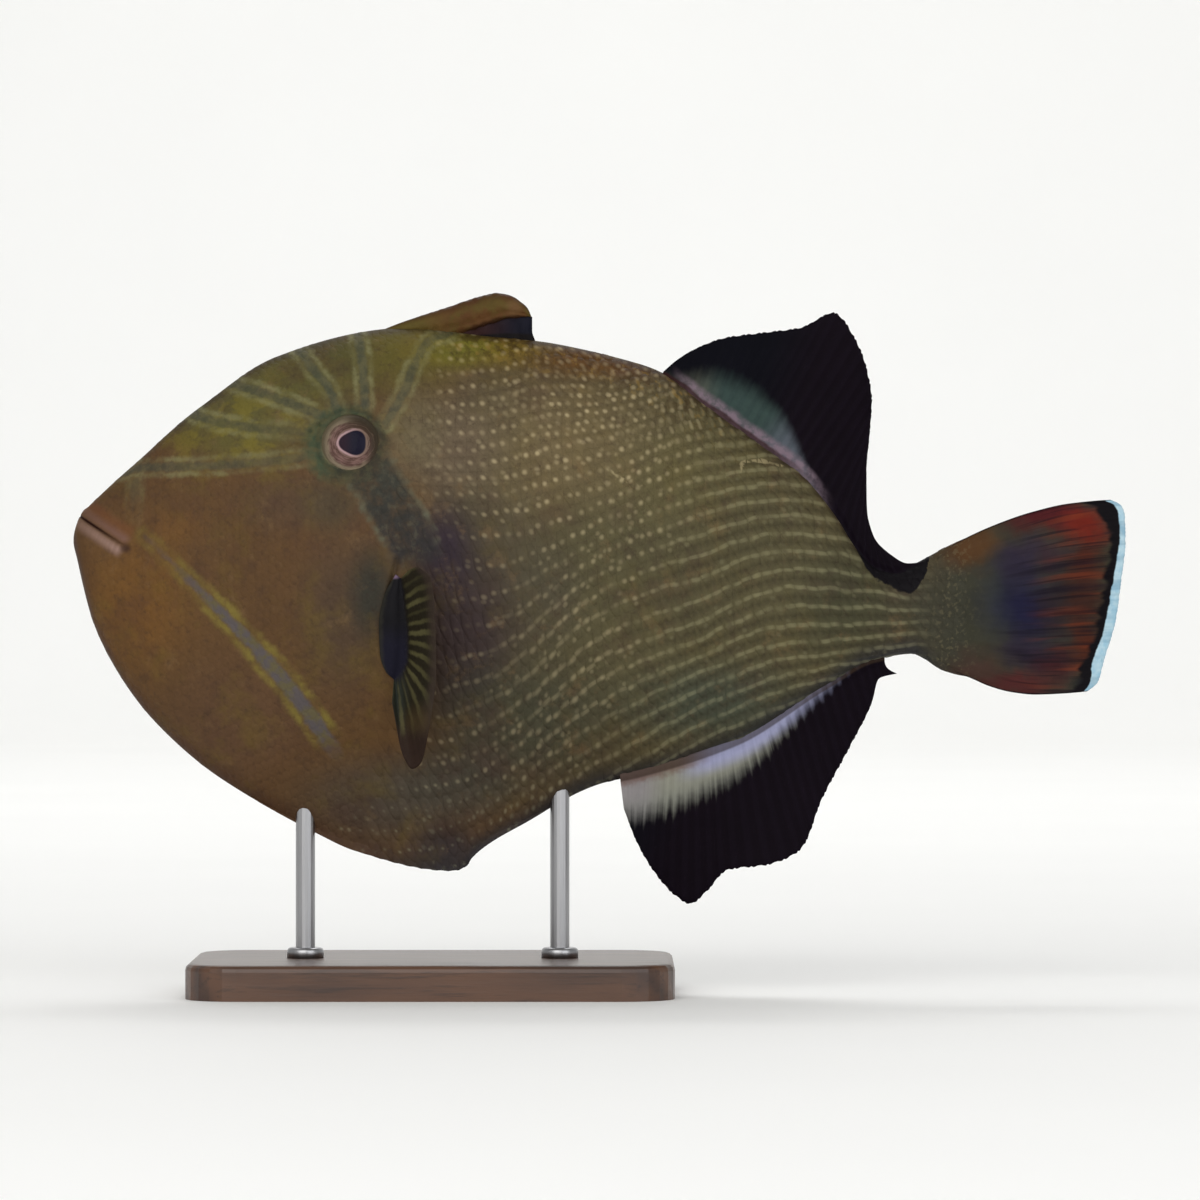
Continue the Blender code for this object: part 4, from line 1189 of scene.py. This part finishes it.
finishes = {"soft_dorsal_fin": dorsalFinish(), "anal_fin": analFinish()}
for pieceName, plan in medianFins.items():
    mesh = finPlate(pieceName + "_form", plan["perRay"] * (plan["rays"] - 1), plan["rows"], medianShape(plan))
    writeMarks(mesh, {"pale": curveThrough(plan["pale"])(readMark(mesh, "along")) - readMark(mesh, "rise")})
    addPiece(mesh, pieceName + "_form", finishes[pieceName], (pieceName,))
print("dorsal and anal fins made")


caudal = {
    "rays": 12, "perRay": 16, "rows": 72,
    "rootAlong": 197.0,
    "top": ((197, 79.9), (201, 82.3), (205, 84.4), (210, 86.6), (218.2, 89.5), (227.3, 91.6), (237.4, 92.5),
            (241, 92.6)),
    "low": ((197, 55.2), (201, 53.2), (205, 51.6), (208.6, 50.0), (214, 48.5), (219.6, 47.9), (226, 48.1),
            (232.6, 48.6), (241, 49.6)),
    "edge": ((231.3, 48.7), (233.6, 50.6), (235.3, 56), (237.9, 65), (239, 74), (239.9, 83), (239.8, 88.6),
             (238.9, 91.2), (236.6, 92.4)),
    "half": (1.6, 0.22),  # thickness from the middle at the root and at the edge
    "ray": 0.24, "wave": 1.5,
    # widths of the pale edge and of the black inside it, from the lower end to the upper
    "paleWide": ((0, 0.9), (0.08, 1.9), (0.2, 2.6), (0.3, 2.3), (0.36, 2.4), (0.5, 2.2), (0.62, 1.9),
                 (0.72, 1.5), (0.8, 1.3), (0.92, 1.5), (1, 1.6)),
    "blackWide": ((0, 3.2), (0.1, 2.4), (0.25, 1.6), (0.5, 1.6), (0.75, 2.0), (0.88, 3.4), (1, 5.0)),
}
caudalTop, caudalLow = curveThrough(caudal["top"]), curveThrough(caudal["low"])


def branchRidge(reach, phase):  # rays that part twice
    away = phase - np.round(phase)
    ridge = np.zeros_like(phase)
    for parts, start, end in ((1, -1, 0.34), (2, 0.34, 0.66), (4, 0.66, 2)):
        share = ramp(reach, start - 0.08, start + 0.08) * ramp(reach, end + 0.08, end - 0.08)
        gap = 0.8 / parts
        offsets = [(k - (parts - 1) / 2) * gap * ramp(reach, start - 0.1, start + 0.25) for k in range(parts)]
        lines = [np.exp(-((away - offset) / (0.22 / parts ** 0.7)) ** 2) for offset in offsets]
        ridge += share * np.max(lines, axis=0)
    return ridge


def caudalShape(reach, spread, facing):
    endAlong, endUp = pathThrough(caudal["edge"])(spread)
    ridge = branchRidge(reach, spread * (caudal["rays"] - 1))
    along = caudal["rootAlong"] + (endAlong - caudal["rootAlong"]) * reach
    endShare = (endUp - caudalLow(endAlong)) / (caudalTop(endAlong) - caudalLow(endAlong))
    share = spread + (endShare - spread) * reach ** 3
    up = caudalLow(along) + (caudalTop(along) - caudalLow(along)) * share
    along = along - 0.12 * (1 - ridge) * ramp(reach, 0.95, 1)
    thick, thin = caudal["half"]
    half = thin + (thick - thin) * (1 - reach) ** 1.7
    half += caudal["ray"] * ridge * (1 - 0.6 * reach) * ramp(reach, 0.1, 0.3)
    wave = caudal["wave"] * reach ** 2 * np.sin(2 * math.pi * spread)
    rounded = ramp(spread, -0.01, 0.04) * ramp(spread, 1.01, 0.96) * ramp(reach, 1.012, 0.975)
    return along, up, wave + facing * half * (0.25 + 0.75 * rounded)


def tailFinish():
    f = Finish("tailFin")
    along, up, side = f.placed()
    reach, spread = f.mark("reach"), f.mark("spread")
    fine = f.noise(500)
    streaks = f.combed(spread * 17.0, reach * 1.3, 2.5)
    colour = tailGround(f, along, up)
    colour = f.mix(streaks.step(0.52, 0.72) * reach.step(0.45, 0.8) * 0.5, colour, tint(112, 50, 28))
    colour = f.mix(streaks.step(0.44, 0.26) * reach.step(0.26, 0.55) * 0.7, colour, tint(18, 13, 24))
    hairs = f.combed(spread * 52.0, reach * 1.6)
    colour = f.mix(hairs.step(0.47, 0.33) * reach.step(0.32, 0.6) * 0.55, colour, tint(14, 10, 18))
    inner = f.mark("inner") + f.sway(330) * 1.1
    darkEdge = (inner - f.mark("blackWide") - (streaks - 0.5) * 4.0).step(0.9, -0.5)
    colour = f.mix(darkEdge, colour, tailLook["black"])
    pale = f.mix(fine.step(0.3, 0.7), tailLook["edge"], tint(172, 198, 208))
    pale = f.mix(streaks.step(0.52, 0.36) * 0.4, pale, tint(104, 138, 158))
    pale = f.mix(f.noise(420, 3, 0.65).step(0.55, 0.7) * 0.4, pale, tint(120, 150, 166))
    colour = f.mix(inner.step(0.18, -0.18), colour, pale)
    colour = f.mix(spread.step(0.012, 0.0) + spread.step(0.988, 1.0), colour, tailLook["black"])
    return f.finish(colour, 0.5 + 0.15 * (fine - 0.5), f.bump(fine, 0.0003, 0.4), Specular_IOR_Level=0.05)


mesh = finPlate("caudal_fin_form", caudal["perRay"] * (caudal["rays"] - 1), caudal["rows"], caudalShape)
spread = readMark(mesh, "spread")
endAlong = pathThrough(caudal["edge"])(spread)[0]
inner = (1 - readMark(mesh, "reach")) * (endAlong - caudal["rootAlong"])
inner -= curveThrough(caudal["paleWide"])(spread)
writeMarks(mesh, {"inner": inner, "blackWide": curveThrough(caudal["blackWide"])(spread)})
addPiece(mesh, "caudal_fin_form", tailFinish(), ("caudal_fin",))
print("tail fin made")


pectoral = {
    "rays": 15, "perRay": 10, "rows": 48, "lobeShare": 0.3, "lobeHalf": 1.05, "sunk": 0.35,
    "lobeFront": ((74.2, 75.3), (71.6, 70.5), (70.4, 64), (70.6, 57.5), (72.0, 53.2), (73.4, 51.9)),
    "hinge": ((0, 75.4, 74.4), (0.2, 76.2, 68.2), (0.42, 76.8, 62.2), (0.62, 76.7, 57.0), (0.75, 76.1, 54.3),
              (0.88, 75.0, 52.7), (1, 73.7, 51.6)),  # share from the first ray to the last, back, up
    "tips": ((0, 79.6, 77.0), (0.1, 82.4, 74.4), (0.24, 83.2, 69.2), (0.42, 83.5, 62.3),
             (0.52, 83.6, 57.6), (0.62, 83.5, 51.8), (0.7, 82.9, 46.6), (0.79, 81.5, 38.6),
             (0.86, 79.9, 32.8), (0.9, 78.0, 31.6), (0.94, 75.9, 34.6), (1, 73.4, 46.5)),
    "flare": ((0, 8.5), (0.25, 13), (0.6, 11), (1, 4)),
}


def sideAt(along, up):
    return girth(along, turnAt(along, np.asarray(up, float)))[1]


def sharedLine(rows):  # place in the side view at a share of the way, the shares given with the places
    parts = [curveThrough([(row[0], row[k]) for row in rows]) for k in (1, 2)]
    return lambda share: (parts[0](share), parts[1](share))


def pectoralShape(mirror):
    front = pathThrough(pectoral["lobeFront"])
    hinge, tip = sharedLine(pectoral["hinge"]), sharedLine(pectoral["tips"])
    flare = curveThrough(pectoral["flare"])
    share = pectoral["lobeShare"]

    def shape(reach, spread, facing):
        a, b, c = (np.array(line(spread)) for line in (front, hinge, tip))
        s = np.where(reach < share, reach / share, (reach - share) / (1 - share))
        start, end = np.where(reach < share, a, b), np.where(reach < share, b, c)
        along, up = start + (end - start) * s
        up = up + np.where(reach < share, 0, 0.6 * np.sin(math.pi * s) * (1 - spread))
        ridge = rayRidge(s, spread, pectoral["rays"], 0.5)
        full = np.sin(math.pi * np.minimum(s, 0.75)) * np.sqrt(np.sin(math.pi * spread))
        lobeHalf = 0.3 + (pectoral["lobeHalf"] - 0.3) * full
        thin = 0.12 + 0.22 * (1 - s) * np.sin(math.pi * spread) + 0.34 * ridge * (1 - 0.6 * s)
        inner = sideAt(along, up) - pectoral["sunk"]
        lobeOut = inner + lobeHalf
        rest = sideAt(b[0], b[1]) + 0.8 - pectoral["sunk"]
        clear = inner + (thin + 2 * pectoral["sunk"]) * ramp(s, 0, 0.2)
        finOut = np.maximum(rest + flare(spread) * s ** 0.85, clear)
        half = np.where(reach < share, lobeHalf, thin * ramp(s, 1.03, 0.95))
        out = np.where(reach < share, lobeOut, finOut)
        return along, up, mirror * (out + facing * half)
    return shape


pectoralLook = {
    "lobe": tint(24, 23, 26),
    "lobeLow": tint(27, 26, 38),
    "ray": tint(84, 80, 52),
    "dark": tint(36, 32, 22),
    "tip": tint(42, 30, 24),
    "grey": tint(42, 46, 40),
    # painted highlight colour
    "light": tint(116, 96, 118),
}


def pectoralFinish():
    f = Finish("breastFin")
    along, up, side = f.placed()
    spot = f.pair(along, up)
    reach, spread = f.mark("reach"), f.mark("spread")
    phase = spread * (pectoral["rays"] - 1.0) + f.sway(180, 2, 0.5) * 0.5
    own = f.node("TexWhiteNoise", {"noise_dimensions": "1D"}, {"W": phase.nearest()})
    ray = (abs(phase - phase.nearest()) - 0.1 * own + f.sway(700) * 0.3).step(0.26, 0.02)
    fine = f.noise(600)
    fresh = (0.3 + 0.7 * own) * reach.step(0.28, 0.42) * (1 - 0.5 * f.blob(spot, (79, 73), (6, 5)))
    fresh = fresh * (0.45 + 0.55 * reach.step(0.95, 0.6))
    colour = f.mix(ray * fresh, pectoralLook["dark"], pectoralLook["ray"])
    colour = f.mix((reach + (fine - 0.5) * 0.14).step(0.74, 0.97) * 0.85, colour, tint(56, 46, 40))
    colour = f.mix(f.blob(spot, (73.5, 48), (5, 9)) * (0.9 - 0.3 * ray), colour, pectoralLook["grey"])
    colour = f.mix(f.blob(spot, (79.5, 42), (5, 6)) * 0.6, colour, tint(66, 52, 32))
    colour = f.mix((up + (fine - 0.5) * 3).step(42.5, 37.5) * 0.95, colour, pectoralLook["tip"])
    lobe = f.mix(up.step(66, 58), pectoralLook["lobe"], pectoralLook["lobeLow"])
    colour = f.mix((reach + f.sway(220) * 0.12).step(0.38, 0.26), colour, lobe)
    colour = f.mix((reach + (fine - 0.5) * 0.06).step(0.07, 0.0) * 0.6, colour, tint(52, 50, 42))
    # painted highlight at the top corner of the gill slit, over the lobe's upper end
    colour = f.mix(f.blob(spot, (74.0, 74.8), (1.7, 0.8)) * 0.8, colour, pectoralLook["light"])
    colour = f.shade(colour, 0.72 + 0.5 * f.noise(260))
    return f.finish(colour, 0.5, f.bump(fine, 0.00025, 0.5), Specular_IOR_Level=0.05)


pectoralMaterial = pectoralFinish()
for word, mirror in (("left", -1), ("right", 1)):
    columns = pectoral["perRay"] * (pectoral["rays"] - 1)
    mesh = finPlate("pectoral_form_" + word, columns, pectoral["rows"], pectoralShape(mirror))
    addPiece(mesh, "pectoral_form_" + word, pectoralMaterial, ("pectoral_fin_" + word,))
print("pectoral fins made")


# First dorsal fin: a stout folded spine laid on the back, and the dark web behind it.
spine = {
    "along": (70.0, 104.6),
    "top": ((70, 130.9), (74, 132.5), (77.7, 133.8), (85.5, 136.3), (93.5, 138.9), (96.6, 139.5),
            (99.6, 139.0), (102.1, 137.5), (103.9, 135.8), (104.6, 134.2)),
    "bottom": ((70, 129.8), (84, 129.6), (89.8, 130.6), (94.7, 132.2), (99.7, 133.6), (103.7, 133.9),
               (104.6, 133.6)),
    "halfWidth": ((70, 0.5), (78, 1.6), (90, 2.2), (99, 2.3), (104.6, 1.2)),
    "sides": 44,
    "rings": 130,
    "webAlong": (86.5, 104.7),
    "webHalf": 0.4,
}
spineTop, spineBottom, spineHalf = (curveThrough(spine[key]) for key in ("top", "bottom", "halfWidth"))


def makeSpine():
    bm = bmesh.new()
    bmesh.ops.create_uvsphere(bm, u_segments=spine["sides"], v_segments=spine["rings"], radius=1)
    co = np.array([v.co for v in bm.verts])
    share = np.arccos(np.clip(-co[:, 2], -1, 1)) / math.pi
    turn = np.arctan2(co[:, 1], co[:, 0])
    low, high = spine["along"]
    along = low + (high - low) * share
    ends = np.sqrt(np.clip(1 - np.clip(np.abs(2 * share - 1) * 12 - 11, 0, 1) ** 2, 0, 1))
    lumps = np.sin(share * 70 + 2 * np.sin(share * 19)) * np.sin(turn * 7)
    knobs = 1 + 0.035 * lumps * ramp(share, 0.05, 0.4)
    middle, half = (spineTop(along) + spineBottom(along)) / 2, (spineTop(along) - spineBottom(along)) / 2
    aside = np.sin(turn) * spineHalf(along) * ends * knobs
    groove = 1 - 0.16 * hill(turn, 2.05, 0.22) - 0.16 * hill(turn, -2.05, 0.22)
    spots = placed(along, middle + np.cos(turn) * half * ends * knobs, aside * groove)
    moveTo(bm, spots)
    faceOutwards(bm)
    mesh = meshOf(bm, "first_dorsal_spine")
    writeMarks(mesh, {"reach": share, "spread": np.cos(turn)})
    return mesh


def webShape(reach, spread, facing):
    low, high = spine["webAlong"]
    along = low + (high - low) * spread
    root = back(along) - 1.4
    top = np.maximum(spineBottom(along) + 0.5, root + 0.2)
    folds = 0.35 * np.sin(spread * 26) * np.sin(math.pi * reach) * (0.4 + 0.6 * spread)
    half = spine["webHalf"] * ramp(spread, 1.02, 0.95) + 0.05
    along = along + 0.9 * ramp(spread, 0.9, 1.0) * ramp(reach, 0.5, 0.0)
    return along, root + (top - root) * reach, folds + facing * half


def spineFinish():
    f = Finish("spineSkin")
    along, up, side = f.placed()
    rise = f.mark("spread")
    rough = f.noise(700, 3, 0.65)
    colour = f.mix(along.step(76, 90), tint(86, 72, 32), tint(82, 54, 28))
    colour = f.mix(f.noise(170, 4, 0.65).step(0.42, 0.62) * 0.65, colour, tint(80, 70, 30))
    colour = f.mix(rise.step(0.3, 1.0) * 0.6, colour, tint(58, 30, 20))
    colour = f.mix(rise.step(-0.55, -0.95) * along.step(86, 92) * 0.8, colour, tint(34, 16, 14))
    places = {0: f.pair(along, up), 1: (100.6, 136.2, 0)}
    pale = f.node("VectorMath", {"operation": "DISTANCE"}, places, out=1)
    colour = f.mix(pale.step(2.8, 0.6) * 0.35, colour, tint(112, 88, 58))
    colour = f.shade(colour, 0.7 + 0.6 * f.noise(240, 4, 0.65))
    return f.finish(colour, 0.55 + 0.1 * (rough - 0.5), f.bump(rough, 0.0004, 0.6), Specular_IOR_Level=0.08)


def webFinish():
    f = Finish("spineWeb")
    along, up, side = f.placed()
    wrinkle = f.noise(500)
    colour = f.mix(along.step(90, 103), tint(44, 22, 20), tint(16, 16, 28))
    colour = f.mix(f.mark("reach").step(0.42, 0.3), colour, tint(14, 9, 10))
    colour = f.shade(colour, 0.75 + 0.5 * f.noise(200))
    bump = f.bump(wrinkle, 0.0003, 0.5)
    return f.finish(colour, 0.5 + 0.1 * (wrinkle - 0.5), bump, Specular_IOR_Level=0.08)


addPiece(makeSpine(), "first_dorsal_spine", spineFinish(), ("first_dorsal_fin",))
addPiece(finPlate("first_dorsal_web", 60, 16, webShape), "first_dorsal_web", webFinish())
print("first dorsal fin made")


# Eyes
def bodySurface(along, up, mirror):
    a, u = np.array([along]), np.array([up])
    turn = turnAt(a, u)
    normal = outwards(a, turn)[0]
    side = float(girth(a, turn)[1][0])
    point = Vector(placed(a, u, np.array([side * mirror]))[0])
    return point, Vector((normal[0], normal[1] * mirror, normal[2]))


def eyeFinish():
    f = Finish("fishEye")
    across, rise = f.mark("eyeAcross") - 0.6, f.mark("eyeRise") - 0.35
    tall = rise * 1.12
    apart = (across * across + tall * tall) ** 0.5
    fromMiddle = (f.mark("eyeAcross") ** 2.0 + f.mark("eyeRise") ** 2.0) ** 0.5
    angle = tall.maths("ARCTAN2", -1.0 * across)
    outside = apart - (3.0 + 0.25 * (angle * 3.0).maths("COSINE"))
    fibre = f.combed(angle * 2.6, apart * 1.5, 4.0)
    rings = f.combed(apart * 1.9 + fibre * 1.5)
    iris = f.mix(fibre.step(0.35, 0.65), tint(84, 62, 56), tint(112, 86, 80))
    shaded = (across * 0.8 + tall * 0.6 + (fibre - 0.5) * 1.6).step(-1.2, 3.4)
    iris = f.mix(shaded * 0.9, iris, tint(56, 44, 33))
    iris = f.mix(rings.step(0.52, 0.68) * 0.45, iris, tint(128, 106, 92))
    iris = f.mix(rings.step(0.49, 0.36) * 0.6, iris, tint(58, 38, 32))
    forward = across.step(2.0, -3.5)
    low = tall.step(-1.5, -3.8) * across.step(4.2, 2.0)
    rim = (fromMiddle + (fibre - 0.5) * 1.6).step(4.5, 5.6) * forward.floorAt(low)
    colour = f.mix(rim * (0.45 + 0.4 * fibre), iris, tint(126, 116, 94))
    shadow = (fromMiddle + (fibre - 0.5) * 1.2).step(4.3, 5.8) * (1 - forward) * (1 - low)
    colour = f.mix(shadow * 0.75, colour, tint(50, 43, 32))
    # pale ring round the pupil; its front side is paler still, a painted highlight
    ring = f.mix(across.step(-2.0, 3.0), tint(166, 136, 138), tint(112, 92, 80))
    colour = f.mix((outside + (fibre - 0.5) * 0.5).step(0.85, 0.3) * 0.9, colour, ring)
    pupil = f.mix(across.step(-2.4, 0.4), tint(32, 15, 29), tint(19, 17, 33))
    colour = f.mix(outside.step(0.26, -0.14), colour, pupil)
    outer = f.mix(forward, tint(56, 49, 38), tint(84, 76, 58))
    colour = f.mix((fromMiddle + (fibre - 0.5) * 1.0).step(5.6, 6.2) * 0.85, colour, outer)
    return f.finish(colour, 0.4, f.bump(fibre, 0.0002, 0.3), Coat_Weight=0.06, Coat_Roughness=0.12,
                    Specular_IOR_Level=0.06)


eyeMaterial = eyeFinish()


def makeEye(name, mirror):
    point, normal = bodySurface(*face["eye"], mirror)
    turn = normal.to_track_quat("Z", "Y").to_matrix()
    centre = point - normal * face["eyeSunk"] * mm
    bm = bmesh.new()
    bmesh.ops.create_uvsphere(bm, u_segments=72, v_segments=56, radius=1)
    radius = face["eyeRadius"]
    bmesh.ops.scale(bm, vec=(radius * mm, radius * mm, face["eyeHalfDepth"] * mm), verts=bm.verts)
    bmesh.ops.rotate(bm, matrix=turn, verts=bm.verts)
    flat = np.array([v.co for v in bm.verts]) / mm
    bmesh.ops.translate(bm, vec=centre, verts=bm.verts)
    faceOutwards(bm)
    mesh = meshOf(bm, name)
    writeMarks(mesh, {"eyeAcross": flat[:, 0], "eyeRise": flat[:, 2]})
    return mesh


for word, mirror in (("left", -1), ("right", 1)):
    addPiece(makeEye("eye_form_" + word, mirror), "eye_form_" + word, eyeMaterial, ("eye_" + word,))
print("eyes made")


# Stand: the base and rods of the frame keep their meshes and get real finishes.
stand = {
    "collarRadius": 4.2, "collarHeight": 2.4, "collarRound": 1.0,
    "rods": ("stand_rod_front", "stand_rod_back"),
}


def woodFinish():
    f = Finish("standWood")
    grain = f.node("TexWave", {"wave_type": "BANDS", "bands_direction": "Y", "wave_profile": "SIN"},
                   {"Vector": f.node("Mapping", values={0: f.place(), 3: (0.12, 1.0, 0.6)}), "Scale": 60.0,
                    "Distortion": 7.0, "Detail": 4.0, "Detail Scale": 1.6}, out=1)
    pores = f.noise(900, 3, 0.7, (0.06, 1, 1))
    colour = f.mix(grain, tint(58, 36, 24), tint(86, 56, 36))
    colour = f.mix(pores.step(0.52, 0.7) * 0.5, colour, tint(34, 20, 13))
    bump = f.bump(pores * 0.6 + grain * 0.4, 0.00025, 0.35)
    return f.finish(colour, 0.34 + 0.14 * pores, bump, Coat_Weight=0.25, Coat_Roughness=0.2)


def steelFinish():
    f = Finish("standSteel")
    streaks = f.noise(1400, 3, 0.6, (1, 1, 0.03))
    colour = f.mix(streaks, tint(150, 150, 152), tint(178, 178, 180))
    return f.finish(colour, 0.24 + 0.18 * streaks, f.bump(streaks, 0.0001, 0.3), Metallic=1.0)


steelMaterial = steelFinish()


def paintNode(name, material):
    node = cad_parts[name]
    for materialSlot in node.material_slots:
        materialSlot.material = material


paintNode("stand_base", woodFinish())
for name in stand["rods"]:
    paintNode(name, steelMaterial)


def makeCollar(name, rod):
    low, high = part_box(rod)
    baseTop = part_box("stand_base")[1].z
    radius, height = stand["collarRadius"] * mm, stand["collarHeight"] * mm
    bm = bmesh.new()
    bmesh.ops.create_cone(bm, cap_ends=True, segments=48, radius1=radius, radius2=radius, depth=height)
    rim = [e for e in bm.edges if e.verts[0].co.z > 0 and e.verts[1].co.z > 0]
    bmesh.ops.bevel(bm, geom=rim, offset=stand["collarRound"] * mm, segments=4, affect="EDGES", profile=0.5,
                    material=-1)
    centre = (low + high) / 2
    bmesh.ops.translate(bm, vec=(centre.x, centre.y, baseTop + height / 2), verts=bm.verts)
    return addPiece(meshOf(bm, name), name, steelMaterial)


for rod in stand["rods"]:
    makeCollar(rod.replace("rod", "collar"), rod)
print("stand made")


# Floor, lights and camera
studio = {
    "wallAt": 2.6, "wallRound": 0.6, "halfSide": 5.1,
    "floor": tint(248, 248, 246),
    "lights": (  # place, power, size, colour, what it aims at
        ((-0.6, -1.6, 0.9), 17, 1.6, (1.0, 0.99, 0.97), (0.0, 0.0, 0.09)),
        ((1.0, -1.4, 0.6), 10, 1.4, (0.97, 0.98, 1.0), (0.0, 0.0, 0.09)),
        ((0.0, 1.0, 1.6), 7, 1.2, (1.0, 1.0, 1.0), (0.0, 0.0, 0.09)),
        ((0.0, 1.7, 2.4), 26, 1.2, (1.0, 1.0, 1.0), (0.0, 3.2, 0.5)),  # lights the wall
    ),
    "world": 0.45,
    "cameraPlace": (0.00016, -1.52, 0.08954),
    "lens": 200.0,
}


def makeFloor():
    bm = bmesh.new()
    bmesh.ops.create_grid(bm, x_segments=2, y_segments=160, size=studio["halfSide"])
    start, curve = studio["wallAt"], studio["wallRound"]
    for vert in bm.verts:
        over = vert.co.y - start
        if over > 0:
            turn = min(over / curve, math.pi / 2)
            rest = max(over - curve * math.pi / 2, 0)
            vert.co.y = start + curve * math.sin(turn)
            vert.co.z = curve * (1 - math.cos(turn)) + rest
    mesh = meshOf(bm, "studio_floor")
    mesh.polygons.foreach_set("use_smooth", np.ones(len(mesh.polygons), bool))
    floor = linked("studio_floor", mesh)
    f = Finish("studioFloor")
    mesh.materials.append(f.finish(f.shade(studio["floor"], 0.985 + 0.03 * f.noise(6, 2, 0.5)), 0.75))


def makeLights():
    for place, power, size, colour, aim in studio["lights"]:
        data = bpy.data.lights.new("studio_light", "AREA")
        data.energy, data.size, data.color = power, size, colour
        light = linked("studio_light", data)
        light.location = place
        light.rotation_euler = (Vector(aim) - Vector(place)).to_track_quat("-Z", "Y").to_euler()
    world = bpy.data.worlds.new("studio_world")
    world.use_nodes = True
    world.node_tree.nodes["Background"].inputs[0].default_value = (1, 1, 1, 1)
    world.node_tree.nodes["Background"].inputs[1].default_value = studio["world"]
    bpy.context.scene.world = world


def makeCamera():
    data = bpy.data.cameras.new("studio_camera")
    data.lens, data.sensor_width = studio["lens"], 36.0
    camera = linked("studio_camera", data)
    camera.location = studio["cameraPlace"]
    camera.rotation_euler = (math.pi / 2, 0, 0)
    bpy.context.scene.camera = camera


makeFloor()
makeLights()
makeCamera()
bpy.context.scene.view_settings.view_transform = "Standard"
print("studio ready")
